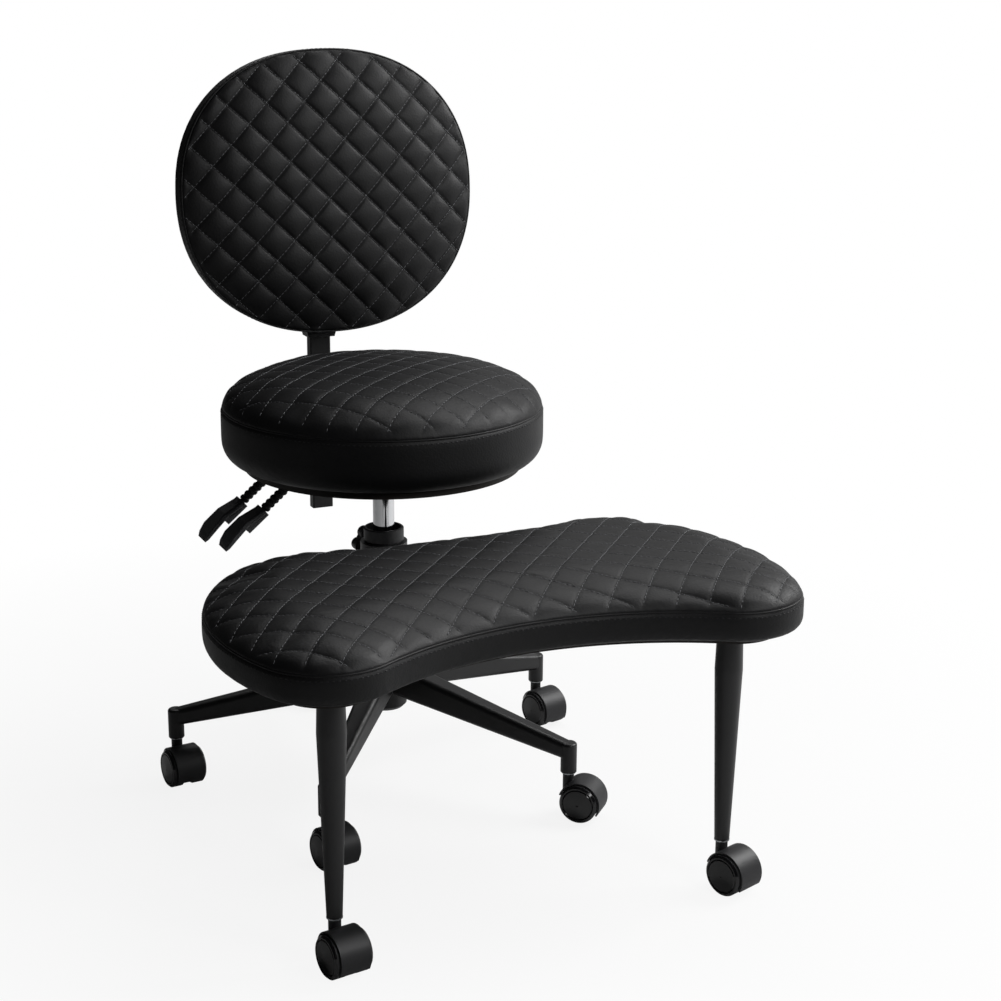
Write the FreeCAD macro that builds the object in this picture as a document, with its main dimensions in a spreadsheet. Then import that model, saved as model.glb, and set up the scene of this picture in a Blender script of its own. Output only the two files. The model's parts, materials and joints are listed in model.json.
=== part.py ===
"""Cross-legged office chair: round seat and back on a gas lift, five-arm caster base,
and a wide bean-shaped leg rest on two caster legs that swings round the column.

Millimetres, +Z up, floor at z = 0, column axis at x = y = 0, the sitter faces -Y.
"""
import FreeCAD, Part
import math
import os
import re

import Sketcher
from FreeCAD import Placement, Rotation, Vector

SIZES = {
    # Clearances: a turning or sliding fit, and two faces that only pass each other
    "run_gap": 0.05,
    "free_gap": 0.3,
    # Twin-wheel caster
    "wheel_dia": 50.0,
    "wheel_width": 18.0,
    "wheel_gap": 11.0,
    "wheel_bevel": 2.5,
    "cap_dome": 1.2,
    "cap_groove": 1.0,
    "caster_trail": 20.0,
    "caster_rise": 10.5,
    "hood_wall": 2.2,
    "hood_gap": 0.8,
    "hood_width": 37.0,
    "hood_web": 7.0,
    "hood_slant": 24.0,
    "neck_dia": 14.5,
    "stem_dia": 11.0,
    "stem_grip": 31.0,
    "ring_dia": 18.5,
    "ring_height": 1.6,
    "axle_dia": 6.0,
    # Five-arm base
    "caster_circle": 280.5,
    "socket_dia": 21.0,
    "socket_height": 40.0,
    "arm_tip_width": 20.0,
    "arm_tip_height": 23.0,
    "arm_hub_width": 34.0,
    "arm_hub_height": 42.5,
    "arm_rise": 60.5,
    "arm_round": 7.0,
    "hub_dia": 58.0,
    "hub_height": 70.0,
    "hub_round": 5.0,
    # Gas lift
    "taper_dia": 28.0,
    "taper_end_dia": 26.5,
    "column_dia": 50.0,
    "column_bore": 46.0,
    "column_floor": 8.0,
    "collar_dia": 53.0,
    "collar_height": 17.0,
    "collar_lip": 2.5,
    "collar_clear": 2.0,
    "bush_length": 90.0,
    "bush_recess": 9.0,
    "tube_dia": 28.0,
    "tube_bore": 23.0,
    "tube_length": 215.0,
    "tube_plug": 8.0,
    "rod_dia": 10.0,
    "piston_height": 9.0,
    "bearing_height": 6.0,
    "bearing_dia": 34.0,
    "chrome_show": 52.0,
    # Leg rest
    "leg_length": 263.5,
    "leg_top_dia": 30.5,
    "leg_belly_dia": 33.0,
    "leg_belly_drop": 48.0,
    "leg_foot_dia": 18.0,
    "leg_plate_dia": 74.0,
    "leg_plate_thick": 3.0,
    "leg_screw_circle": 54.0,
    "leg_spread": 245.0,
    "leg_forward": 478.0,
    "rest_back": 168.0,
    "rest_bay": 489.0,
    "rest_lobe_x": 248.0,
    "rest_lobe_y": 474.0,
    "rest_lobe_radius": 84.5,
    "rest_shoulder_x": 187.0,
    "rest_shoulder_y": 292.0,
    "rest_shoulder_radius": 131.0,
    "rest_side_radius": 302.0,
    "rest_board_thick": 9.0,
    "rest_board_inset": 30.0,
    "rest_pad_height": 70.0,
    "rest_seam_height": 36.0,
    "rest_crown_reach": 76.0,
    "rest_fullness": 1.0,
    "rest_foot_round": 12.0,
    "sleeve_dia": 62.0,
    "sleeve_height": 38.0,
    "sleeve_drop": 4.0,
    "beam_width": 50.0,
    "beam_height": 20.0,
    "beam_wall": 2.5,
    "beam_reach": 350.0,
    "beam_plate_width": 150.0,
    "beam_plate_length": 130.0,
    "beam_plate_thick": 3.0,
    "clamp_boss_dia": 20.0,
    "clamp_boss_reach": 38.0,
    "clamp_stud_dia": 8.0,
    "knob_dia": 52.0,
    "knob_lobe_dia": 17.0,
    "knob_thick": 16.0,
    "knob_lobes": 6.0,
    # Seat
    "mech_length": 160.0,
    "mech_front": 32.0,
    "mech_width": 104.0,
    "mech_height": 32.0,
    "mech_plate_length": 190.0,
    "mech_plate_width": 160.0,
    "mech_plate_thick": 3.0,
    "mech_wall": 3.0,
    "bolt_dia": 6.0,
    "bolt_head_dia": 11.0,
    "bolt_head_height": 3.5,
    "seat_bolt_x": 60.0,
    "seat_bolt_y": 78.0,
    "seat_board_dia": 361.0,
    "seat_board_thick": 9.0,
    "seat_dia": 421.0,
    "seat_pad_height": 122.0,
    "seat_seam_height": 70.0,
    "seat_crown_reach": 202.0,
    "seat_fullness": 0.37,
    "seat_foot_round": 28.0,
    # Seams and quilting of the three pads
    "seam_groove": 1.5,
    "seam_draw": 0.8,
    "quilt_pitch": 36.5,
    "quilt_width": 8.0,
    "quilt_depth": 3.0,
    "quilt_edge": 5.0,
    "quilt_step": 6.0,
    "quilt_ease": 0.7,
    # Levers
    "lever_pivot_x": 66.0,
    "lever_pivot_rise": 21.0,
    "lever_pin_dia": 6.0,
    "lever_eye_dia": 14.0,
    "lever_eye_width": 12.0,
    "lever_ear": 4.0,
    "height_lever_y": 20.0,
    "tilt_lever_y": 70.0,
    "height_lever_reach": 47.0,
    "tilt_lever_reach": 60.0,
    "lever_run": 59.0,
    "lever_slope": 40.0,
    "lever_rod_dia": 8.0,
    "lever_bend": 14.0,
    "grip_dia": 13.0,
    "grip_root_dia": 10.5,
    "grip_pitch": 7.6,
    "grip_ribs": 6.0,
    "paddle_length": 72.0,
    "paddle_root_width": 25.0,
    "paddle_width": 40.0,
    "paddle_thick": 8.0,
    "paddle_tip_thick": 5.0,
    "paddle_bow": 6.0,
    "paddle_socket_length": 34.0,
    "paddle_socket_width": 22.0,
    "paddle_socket_depth": 15.0,
    # Back
    "tilt_pivot_y": 98.0,
    "tilt_pivot_rise": 15.0,
    "tilt_pin_dia": 10.0,
    "tilt_eye_dia": 24.0,
    "tilt_eye_width": 50.0,
    "tilt_ear": 4.0,
    "post_y": 248.0,
    "post_width": 30.0,
    "post_depth": 16.0,
    "post_wall": 2.0,
    "post_drop": 104.0,
    "post_top": 330.0,
    "holder_wall": 4.0,
    "holder_height": 52.0,
    "back_bar_width": 40.0,
    "back_bar_height": 18.0,
    "back_recline": 2.7,
    "back_plate_rise": 268.0,
    "back_plate_width": 110.0,
    "back_plate_height": 100.0,
    "back_plate_thick": 4.0,
    "back_bolt_x": 42.0,
    "back_bolt_z": 36.0,
    "back_width": 418.0,
    "back_height": 385.0,
    "back_power": 2.23,
    "back_pad_height": 58.0,
    "back_pad_rise": 80.0,
    "back_board_thick": 9.0,
    "back_board_inset": 18.0,
    "back_foot_round": 12.0,
    "back_seam_height": 40.0,
    "back_crown_reach": 110.0,
    "back_fullness": 1.0,
    "cover_top_width": 58.0,
    "cover_foot_width": 38.0,
    "cover_depth": 26.0,
    "cover_height": 34.0,
    "cover_drop": 11.0,
    "back_knob_dia": 40.0,
}

# Where each piece starts, worked out from the sizes from the floor up
LEVELS = {
    "wheel_radius": "wheel_dia / 2",
    "caster_top": "wheel_dia + caster_rise",
    "tip_top": "caster_top + socket_height",
    "hub_top": "tip_top + arm_rise + hub_round",
    "hub_bottom": "hub_top - hub_height",
    "rest_board_bottom": "caster_top + leg_length",
    "sleeve_top": "rest_board_bottom + sleeve_drop",
    "collar_top": "sleeve_top + collar_clear + collar_height",
    "column_top": "collar_top - collar_lip",
    "bush_top": "collar_top - bush_recess",
    "mech_bottom": "collar_top + chrome_show",
    "mech_top": "mech_bottom + mech_height",
    "seat_board_bottom": "mech_top + mech_plate_thick",
    "seat_pad_bottom": "seat_board_bottom + seat_board_thick",
    "tube_top": "mech_top - mech_wall",
    "tube_bottom": "tube_top - tube_length",
    "piston_top": "tube_bottom + tube_length / 2",
    "rest_pad_bottom": "rest_board_bottom + rest_board_thick",
    "beam_top": "rest_board_bottom - beam_plate_thick",
    "clamp_level": "beam_top - beam_height / 2",
    "lever_level": "mech_bottom + lever_pivot_rise",
    "tilt_level": "mech_bottom + tilt_pivot_rise",
    "post_bottom": "tilt_level - post_drop",
    "back_plate_level": "tilt_level + back_plate_rise",
    "back_face_y": "post_y - post_depth / 2 - back_plate_thick",
}

# Directions from +X of the base arms, and of each caster's trail as it stands in the picture
BASE_CASTERS = {
    "side_left": (18.0, -75.5),
    "rear": (90.0, -60.0),
    "side_right": (162.0, -83.0),
    "front_right": (234.0, -80.0),
    "front_left": (306.0, -44.5),
}
REST_CASTERS = {
    "rest_right": (-1, -80.5),
    "rest_left": (1, -70.0),
}
X_AXIS, Y_AXIS, Z_AXIS = Vector(1, 0, 0), Vector(0, 1, 0), Vector(0, 0, 1)

doc = FreeCAD.newDocument("cross_legged_chair")
sheet = doc.addObject("Spreadsheet::Sheet", "Sizes")
levels = doc.addObject("App::VarSet", "Levels")
gauge = doc.addObject("App::VarSet", "Gauge")
pieces = []


def full(expr):
    """Write a size or level by its full name in the document."""
    def owner(match):
        word = match.group(0)
        if word in SIZES:
            return "Sizes." + word
        return "Levels." + word if word in LEVELS else word
    return re.sub(r"[A-Za-z_]\w*", owner, str(expr))


def fill_sheet():
    """Put the driving sizes in the sheet and bind the levels to them."""
    for row, (alias, value) in enumerate(SIZES.items(), 1):
        sheet.set(f"A{row}", alias)
        sheet.set(f"B{row}", str(value))
        sheet.setAlias(f"B{row}", alias)
    doc.recompute()
    gauge.addProperty("App::PropertyFloat", "reading")
    for name, expr in LEVELS.items():
        levels.addProperty("App::PropertyFloat", name)
        levels.setExpression(name, full(expr))
    doc.recompute()


def num(expr):
    """Work out a size, a level or a sum of them as a number."""
    gauge.setExpression("reading", full(expr))
    gauge.recompute()
    return gauge.reading


def bind(obj, **sizes):
    """Bind properties of an object to expressions."""
    for prop, expr in sizes.items():
        obj.setExpression(prop, full(expr))
    return obj


def place(obj, x=0, y=0, z=0, turn=None):
    """Set an object's rotation and bind its position."""
    obj.Placement = Placement(Vector(), turn or Rotation())
    for letter, expr in (("x", x), ("y", y), ("z", z)):
        obj.setExpression(f"Placement.Base.{letter}", full(expr))
    return obj


def solid(kind, name, at=(0, 0, 0), turn=None, **sizes):
    """Add a primitive with bound sizes and place."""
    obj = doc.addObject("Part::" + kind, name)
    return place(bind(obj, **sizes), *at, turn=turn)


def box(name, middle, base, size):
    """Add a block centred on middle in X and Y that stands on the level base."""
    long, wide, high = size
    x, y = middle
    return solid("Box", name, (f"{x} - ({long}) / 2", f"{y} - ({wide}) / 2", base),
                 Length=long, Width=wide, Height=high)


def rod(name, at, axis, radius, length):
    """Add a cylinder that starts at a point and runs along an axis."""
    return solid("Cylinder", name, at, Rotation(Z_AXIS, axis), Radius=radius, Height=length)


def fuse(name, *objs):
    """Join solids into one piece."""
    obj = doc.addObject("Part::MultiFuse", name)
    obj.Shapes = list(objs)
    obj.Refine = True
    return obj


def cut(name, base, *tools):
    """Take tools away from a solid."""
    obj = doc.addObject("Part::Cut", name)
    obj.Base = base
    obj.Tool = tools[0] if len(tools) == 1 else fuse(name + "_tools", *tools)
    obj.Refine = True
    return obj


def rounded(name, base, radius, chosen):
    """Round the edges of a solid that a test picks, by a radius from the sheet."""
    doc.recompute()
    obj = doc.addObject("Part::Fillet", name)
    obj.Base = base
    size = num(radius)
    obj.Edges = [(i, size, size) for i, edge in enumerate(base.Shape.Edges, 1) if chosen(edge)]
    return obj


def level_edge(z_expr):
    """Make a test for edges that lie flat at one level."""
    z = num(z_expr)

    def chosen(edge):
        low, high = edge.BoundBox.ZMin, edge.BoundBox.ZMax
        return abs(low - z) < 1e-3 and abs(high - z) < 1e-3
    return chosen


def turned(name, profile):
    """Turn a closed outline of (radius, height) corners about Z, as a body with a sketch."""
    body = doc.addObject("PartDesign::Body", name)
    sketch = body.newObject("Sketcher::SketchObject", name + "_outline")
    planes = {f.Role: f for f in body.Origin.OriginFeatures}
    sketch.AttachmentSupport = [(planes["XZ_Plane"], "")]
    sketch.MapMode = "FlatFace"
    corners = [Vector(num(r), num(z), 0) for r, z in profile]
    count = len(corners)
    for i in range(count):
        sketch.addGeometry(Part.LineSegment(corners[i], corners[(i + 1) % count]), False)
    for i in range(count):
        sketch.addConstraint(Sketcher.Constraint("Coincident", i, 2, (i + 1) % count, 1))
    for i, (r, z) in enumerate(profile):
        for kind, expr, value, axis in (("DistanceX", r, corners[i].x, -2),
                                        ("DistanceY", z, corners[i].y, -1)):
            if abs(value) < 1e-9:
                sketch.addConstraint(Sketcher.Constraint("PointOnObject", i, 1, axis))
                continue
            at = sketch.addConstraint(Sketcher.Constraint(kind, -1, 1, i, 1, value))
            sketch.setExpression(f"Constraints[{at}]", full(expr))
    spin = body.newObject("PartDesign::Revolution", name + "_turn")
    spin.Profile = sketch
    spin.ReferenceAxis = (sketch, ["V_Axis"])
    spin.Angle = 360
    return body


def shaped(name, shape):
    """Hold a shape that was worked out from the sizes."""
    obj = doc.addObject("Part::Feature", name)
    obj.Shape = shape
    return obj


def copy_at(name, source, x=0, y=0, z=0, turn=None):
    """Stand a copy of a piece at its own place."""
    obj = doc.addObject("Part::Compound", name)
    obj.Links = [source]
    return place(obj, x, y, z, turn)


def group(name, *objs):
    """Keep like solids together in one node."""
    obj = doc.addObject("Part::Compound", name)
    obj.Links = list(objs)
    return obj


def keep(obj, label):
    """List an object as a finished piece under its own name."""
    obj.Label = label
    pieces.append(obj)
    return obj


def extruded(name, outline, base, height):
    """Raise a flat outline from a level."""
    obj = doc.addObject("Part::Extrusion", name)
    obj.Base = outline
    obj.DirMode = "Custom"
    obj.Dir = Z_AXIS
    obj.Solid = True
    bind(obj, LengthFwd=height)
    return place(obj, z=base)


def lobed_knob(name, dia, lobe_dia, bore_reach):
    """Hand knob with a ring of lobes, a domed hub and a stud along local +Z to -Z."""
    lobes = round(num("knob_lobes"))
    grips = [solid("Cylinder", f"{name}_lobe{i}",
                   (f"(({dia}) - ({lobe_dia})) / 2 * cos({360 * i / lobes})",
                    f"(({dia}) - ({lobe_dia})) / 2 * sin({360 * i / lobes})", 0),
                   Radius=f"({lobe_dia}) / 2", Height="knob_thick") for i in range(lobes)]
    disc = solid("Cylinder", name + "_disc", Radius=f"({dia}) / 2 - ({lobe_dia}) / 3",
                 Height="knob_thick")
    boss = solid("Cone", name + "_boss", (0, 0, "knob_thick"), Radius1=f"({dia}) / 4",
                 Radius2=f"({dia}) / 6", Height="knob_thick / 5")
    stud = solid("Cylinder", name + "_stud", (0, 0, f"-({bore_reach})"),
                 Radius="clamp_stud_dia / 2", Height=f"({bore_reach}) + knob_thick / 2")
    return fuse(name, disc, boss, stud, *grips)


def make_caster():
    """One twin-wheel caster about its stem axis, trailing along +X: hood, stem, axle, wheels."""
    hub = ("caster_trail", "wheel_radius")
    reach = "wheel_radius + hood_gap + hood_wall"
    y_turn = Rotation(Z_AXIS, Y_AXIS)
    shell = rod("hood_shell", (hub[0], "-hood_width / 2", hub[1]), Y_AXIS, reach, "hood_width")
    neck = solid("Cylinder", "hood_neck", (0, 0, "wheel_radius"), Radius="neck_dia / 2",
                 Height="caster_top - ring_height - wheel_radius")
    pocket = "wheel_radius + hood_gap"
    left = rod("pocket_left", (hub[0], "hood_web / 2", hub[1]), Y_AXIS, pocket, "hood_width")
    right = rod("pocket_right", (hub[0], "-hood_width - hood_web / 2", hub[1]), Y_AXIS, pocket,
                "hood_width")
    slant = Rotation(Y_AXIS, num("hood_slant"))
    below = solid("Box", "hood_open", turn=slant, Length=f"4 * ({reach})", Width="2 * hood_width",
                  Height=f"2 * ({reach})")
    offset = slant.multVec(Vector(-2 * num(reach), 0, -2 * num(reach)))
    place(below, f"caster_trail + ({offset.x})", "-hood_width",
          f"wheel_radius - axle_dia / 2 + ({offset.z})", slant)
    boss = rod("hood_boss", (hub[0], "-hood_web / 2", hub[1]), Y_AXIS, "axle_dia", "hood_web")
    axle_hole = rod("hood_axle_hole", (hub[0], "-hood_width", hub[1]), Y_AXIS,
                    "axle_dia / 2 + run_gap", "2 * hood_width")
    stem_hole = solid("Cylinder", "hood_stem_hole", (0, 0, "wheel_dia - hood_web"),
                      Radius="stem_dia / 2", Height="wheel_dia")
    body = cut("hood_body", fuse("hood_solid", shell, neck), left, right, below)
    hood = cut("hood", fuse("hood_bossed", body, boss), axle_hole, stem_hole)
    stem = fuse("stem",
                solid("Cylinder", "stem_pin", (0, 0, "wheel_dia - hood_web"), Radius="stem_dia / 2",
                      Height="caster_top + stem_grip - wheel_dia + hood_web"),
                solid("Cylinder", "stem_ring", (0, 0, "caster_top - ring_height"),
                      Radius="ring_dia / 2", Height="ring_height - free_gap"))
    axle_end = "wheel_gap / 2 + wheel_width - 4 * cap_dome"
    axle = rod("axle", (hub[0], f"-({axle_end})", hub[1]), Y_AXIS, "axle_dia / 2",
               f"2 * ({axle_end})")
    inner, outer = "wheel_gap / 2", "wheel_gap / 2 + wheel_width"
    bore = "axle_dia / 2 + run_gap / 2"
    wheel = turned("wheel", [
        (bore, inner), ("wheel_radius - wheel_bevel", inner),
        ("wheel_radius", f"{inner} + wheel_bevel"), ("wheel_radius", f"{outer} - wheel_bevel"),
        ("wheel_radius - wheel_bevel", outer),
        ("wheel_radius - 2 * wheel_bevel + cap_groove", outer),
        ("wheel_radius - 2 * wheel_bevel", f"{outer} - cap_groove"),
        ("wheel_radius - 2 * wheel_bevel - cap_groove", outer),
        (0, f"{outer} + cap_dome"), (0, axle_end), (bore, axle_end)])
    near = copy_at("wheel_near", wheel, hub[0], 0, hub[1], y_turn)
    far = copy_at("wheel_far", wheel, hub[0], 0, hub[1], Rotation(Z_AXIS, -Y_AXIS))
    return {"hood": hood, "stem": stem, "axle": axle, "wheels": group("wheels", near, far)}


def set_casters():
    """Stand a caster under each base arm and each leg of the leg rest."""
    master = make_caster()
    places = {}
    for name, (arm, trail) in BASE_CASTERS.items():
        places[name] = (f"caster_circle * cos({arm})", f"caster_circle * sin({arm})", trail)
    for name, (side, trail) in REST_CASTERS.items():
        places[name] = (f"{side} * leg_spread", "-leg_forward", trail)
    for name, (x, y, trail) in places.items():
        for part, source in master.items():
            label = f"{name}_caster_{part}"
            keep(copy_at(label, source, x, y, 0, Rotation(Z_AXIS, trail)), label)


def slab(x, width, thick, rise, soft):
    """Rounded rectangle across local X, a section of an arm or a paddle."""
    w, h, r = width / 2, thick / 2, soft
    corners = ((w - r, h - r, 0), (-w + r, h - r, 90), (-w + r, -h + r, 180), (w - r, -h + r, 270))
    arcs = []
    for y, z, start in corners:
        turns = [math.radians(start + turn) for turn in (0, 45, 90)]
        arcs.append(Part.Arc(*[Vector(x, y + r * math.cos(a), rise + z + r * math.sin(a))
                               for a in turns]))
    edges = []
    for arc, after in zip(arcs, arcs[1:] + arcs[:1]):
        edges += [arc.toShape(), Part.LineSegment(arc.EndPoint, after.StartPoint).toShape()]
    return Part.Wire(edges)


def make_base():
    """Five tapered arms welded to a hub, with a stem socket under each tip."""
    hub = turned("hub_core", [
        ("taper_end_dia / 2", "hub_bottom"), ("hub_dia / 2 - hub_round", "hub_bottom"),
        ("hub_dia / 2", "hub_bottom + hub_round"), ("hub_dia / 2", "hub_top - hub_round"),
        ("hub_dia / 2 - hub_round", "hub_top"), ("taper_dia / 2", "hub_top")])
    arms, holes = [], []
    inner, outer = num("taper_dia / 2 + hub_round"), num("caster_circle")
    tall, low = num("arm_hub_height"), num("arm_tip_height")
    soft = num("arm_round")
    root = slab(inner, num("arm_hub_width"), tall, num("hub_top - hub_round") - tall / 2, soft)
    tip = slab(outer, num("arm_tip_width"), low, num("tip_top") - low / 2, soft)
    beam = Part.makeLoft([root, tip], True, True)
    for name, (angle, _) in BASE_CASTERS.items():
        arms.append(place(shaped(f"arm_{name}", beam), turn=Rotation(Z_AXIS, angle)))
        x, y = f"caster_circle * cos({angle})", f"caster_circle * sin({angle})"
        socket = solid("Cylinder", f"socket_{name}", (x, y, "caster_top"), Radius="socket_dia / 2",
                       Height="socket_height")
        arms.append(rounded(f"socket_{name}_round", socket, "arm_round / 2", level_edge("tip_top")))
        holes.append(solid("Cylinder", f"socket_{name}_bore", (x, y, "caster_top - 1"),
                           Radius="stem_dia / 2 + run_gap", Height="stem_grip + 1 + free_gap"))
    keep(cut("star_base_cut", fuse("star_base_solid", hub, *arms), *holes), "star_base")


def make_gas_lift():
    """Outer column with its collar and bush, the piston rod on its bearing, the chrome tube."""
    wall, floor = "column_bore / 2", "hub_top + column_floor"
    column = turned("column", [
        ("rod_dia / 2 + run_gap", "hub_bottom"), ("taper_end_dia / 2", "hub_bottom"),
        ("taper_dia / 2", "hub_top"), ("column_dia / 2 - hub_round / 2", "hub_top"),
        ("column_dia / 2", "hub_top + hub_round / 2"),
        ("column_dia / 2", "column_top"), (wall, "column_top"), (wall, floor),
        ("rod_dia / 2 + run_gap", floor)])
    keep(column, "column_outer_tube")
    collar = turned("collar", [
        ("column_dia / 2", "collar_top - collar_height"),
        ("collar_dia / 2", "collar_top - collar_height"),
        ("collar_dia / 2", "collar_top - collar_lip / 2"),
        ("collar_dia / 2 - collar_lip / 2", "collar_top"), (wall, "collar_top"),
        (wall, "column_top"), ("column_dia / 2", "column_top")])
    keep(collar, "column_collar")
    bush = turned("bush", [
        ("tube_dia / 2 + run_gap", "bush_top - bush_length"), (wall, "bush_top - bush_length"),
        (wall, "bush_top"), ("tube_dia / 2 + run_gap + collar_lip", "bush_top"),
        ("tube_dia / 2 + run_gap", "bush_top - collar_lip")])
    keep(bush, "column_guide_bush")
    bearing = turned("bearing", [
        ("rod_dia / 2 + run_gap", floor), ("bearing_dia / 2", floor),
        ("bearing_dia / 2", f"{floor} + bearing_height"),
        ("rod_dia / 2 + run_gap", f"{floor} + bearing_height")])
    keep(bearing, "thrust_bearing")
    rest = f"{floor} + bearing_height + run_gap"
    piston = turned("piston", [
        (0, "hub_bottom"), ("rod_dia / 2", "hub_bottom"), ("rod_dia / 2", rest),
        ("rod_dia", rest), ("rod_dia", f"{rest} + collar_lip"),
        ("rod_dia / 2", f"{rest} + collar_lip"), ("rod_dia / 2", "piston_top - piston_height"),
        ("tube_bore / 2 - run_gap", "piston_top - piston_height"),
        ("tube_bore / 2 - run_gap", "piston_top"), (0, "piston_top")])
    keep(piston, "piston_rod")
    tube = turned("tube", [
        ("rod_dia / 2 + run_gap", "tube_bottom"), ("tube_dia / 2", "tube_bottom"),
        ("tube_dia / 2", "mech_bottom"), ("taper_end_dia / 2", "tube_top"), (0, "tube_top"),
        (0, "tube_top - tube_plug"), ("tube_bore / 2", "tube_top - tube_plug"),
        ("tube_bore / 2", "tube_bottom + tube_plug"),
        ("rod_dia / 2 + run_gap", "tube_bottom + tube_plug")])
    keep(tube, "pressure_tube")


def meeting(first, first_r, second, second_r):
    """Crossing of two circles that lies nearer the middle of the leg rest."""
    line = second - first
    span = line.Length
    along = (first_r ** 2 - second_r ** 2 + span ** 2) / (2 * span)
    across = math.sqrt(first_r ** 2 - along ** 2)
    foot = first + line * (along / span)
    normal = Vector(-line.y, line.x, 0) * (across / span)
    return min((foot + normal, foot - normal), key=lambda point: point.x)


def bean_wire(inset, z=0.0):
    """Bean outline at a level, drawn in by inset: eight arcs, each tangent to the next.

    The lobes, sides and shoulders are convex. The front bay and the back edge take the radius
    that makes them tangent to the lobes and the shoulders.
    """
    lobe = Vector(num("rest_lobe_x"), -num("rest_lobe_y"), 0)
    shoulder = Vector(num("rest_shoulder_x"), -num("rest_shoulder_y"), 0)
    lobe_r, shoulder_r = num("rest_lobe_radius"), num("rest_shoulder_radius")
    side_r = num("rest_side_radius")
    rise, drop = lobe.y + num("rest_bay"), -num("rest_back") - shoulder.y
    bay_r = (lobe.x ** 2 + rise ** 2 - lobe_r ** 2) / (2 * (lobe_r - rise))
    back_r = (shoulder.x ** 2 + drop ** 2 - shoulder_r ** 2) / (2 * (shoulder_r - drop))
    bay = Vector(0, -num("rest_bay") - bay_r, 0)
    back = Vector(0, -num("rest_back") + back_r, 0)
    side = meeting(lobe, side_r - lobe_r, shoulder, side_r - shoulder_r)

    def out(centre, towards, radius):
        return centre + (towards - centre).normalize() * radius

    joins = [out(bay, lobe, bay_r + inset), out(side, lobe, side_r - inset),
             out(side, shoulder, side_r - inset), out(back, shoulder, abs(back_r + inset))]
    tops = [out(centre, (start + end) * 0.5, radius - inset) for centre, radius, start, end in (
        (lobe, lobe_r, joins[0], joins[1]), (side, side_r, joins[1], joins[2]),
        (shoulder, shoulder_r, joins[2], joins[3]))]
    bay_top = Vector(0, -num("rest_bay") + inset, 0)
    back_top = Vector(0, -num("rest_back") - inset, 0)

    def flip(point):
        return Vector(-point.x, point.y, 0)

    right = list(zip(joins, tops, joins[1:]))
    left = [(flip(end), flip(top), flip(start)) for start, top, end in reversed(right)]
    ring = [(flip(joins[0]), bay_top, joins[0]), *right,
            (joins[3], back_top, flip(joins[3])), *left]
    wire = Part.Wire([Part.Arc(*arc).toShape() for arc in ring])
    wire.translate(Vector(0, 0, z))
    return wire


def round_wire(inset, z=0.0):
    """Seat outline at a level, drawn in by inset."""
    return Part.Wire([Part.Circle(Vector(0, 0, z), Z_AXIS, num("seat_dia") / 2 - inset).toShape()])


def pad_rings(kind):
    """Draw-in and height of each ring up a pad: rounded foot, side band, seam, then the crown.

    The crown's rings lie closer towards the seam, and a low fullness makes its edge rounder.
    """
    foot, seam = num(f"{kind}_foot_round"), num(f"{kind}_seam_height")
    groove, draw, crown_rings = num("seam_groove"), num("seam_draw"), 5
    side = [(foot * (1 - math.sin(a)), foot * (1 - math.cos(a))) for a in (0, math.pi / 4, math.pi / 2)]
    side += [(draw, seam - groove), (draw + groove, seam)]
    top = []
    for step in range(crown_rings + 1):
        share = (step / crown_rings) ** 2
        rise = (1 - (1 - share) ** 2) ** num(f"{kind}_fullness")
        top.append((draw + num(f"{kind}_crown_reach") * share,
                    seam + groove + (num(f"{kind}_pad_height") - seam - groove) * rise))
    return side, top


def level_at(top, inset):
    """Height of a pad's crown at a distance in from its outline."""
    for (start, low), (end, high) in zip(top, top[1:]):
        if inset <= end:
            return low + (high - low) * max(0.0, inset - start) / (end - start)
    return top[-1][1]


def eased(stations):
    """Drop the stations of a channel that lie near the line between their neighbours."""
    (start, *first), (end, *last) = stations[0], stations[-1]
    worst, at = num("quilt_ease"), None
    for i, (t, *here) in enumerate(stations[1:-1], 1):
        share = (t - start) / (end - start)
        off = max(abs(h - f - share * (g - f)) for h, f, g in zip(here, first, last))
        if off > worst:
            worst, at = off, i
    if at is None:
        return [stations[0], stations[-1]]
    return eased(stations[:at + 1])[:-1] + eased(stations[at:])


def channels(panel, top, middle, turn):
    """V-shaped troughs that follow a pad's crown along each line of stitches in one direction."""
    pitch, half, depth = num("quilt_pitch"), num("quilt_width") / 2, num("quilt_depth")
    edge = num("quilt_edge")
    along = Rotation(Z_AXIS, turn).multVec(X_AXIS)
    across = Rotation(Z_AXIS, turn).multVec(Y_AXIS)
    reach, rim = panel.BoundBox.DiagonalLength, panel.OuterWire
    made = []
    lines = math.ceil(reach / 2 / pitch)
    for line in range(-lines, lines + 1):
        mid = middle + across * (line * pitch)
        stitch = Part.LineSegment(mid - along * reach, mid + along * reach).toShape()
        for run in stitch.common(panel).Edges:
            if run.Length < pitch:
                continue
            begin = min((v.Point - mid).dot(along) for v in run.Vertexes)
            count = round(run.Length / num("quilt_step"))
            stations = []
            for i in range(count + 1):
                t = begin + run.Length * i / count
                inset = rim.distToShape(Part.Vertex(mid + along * t))[0]
                sink = depth * min(1.0, inset / (2 * edge))
                stations.append((t, level_at(top, inset + edge) - sink))
            wires = []
            for t, floor in eased(stations):
                foot = mid + along * t + Z_AXIS * floor
                brim = foot + Z_AXIS * (2 * depth)
                wires.append(Part.makePolygon([foot, brim + across * (2 * half),
                                               brim - across * (2 * half), foot]))
            made.append(Part.makeLoft(wires, True, True))
    return Part.makeCompound(made)


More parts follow.
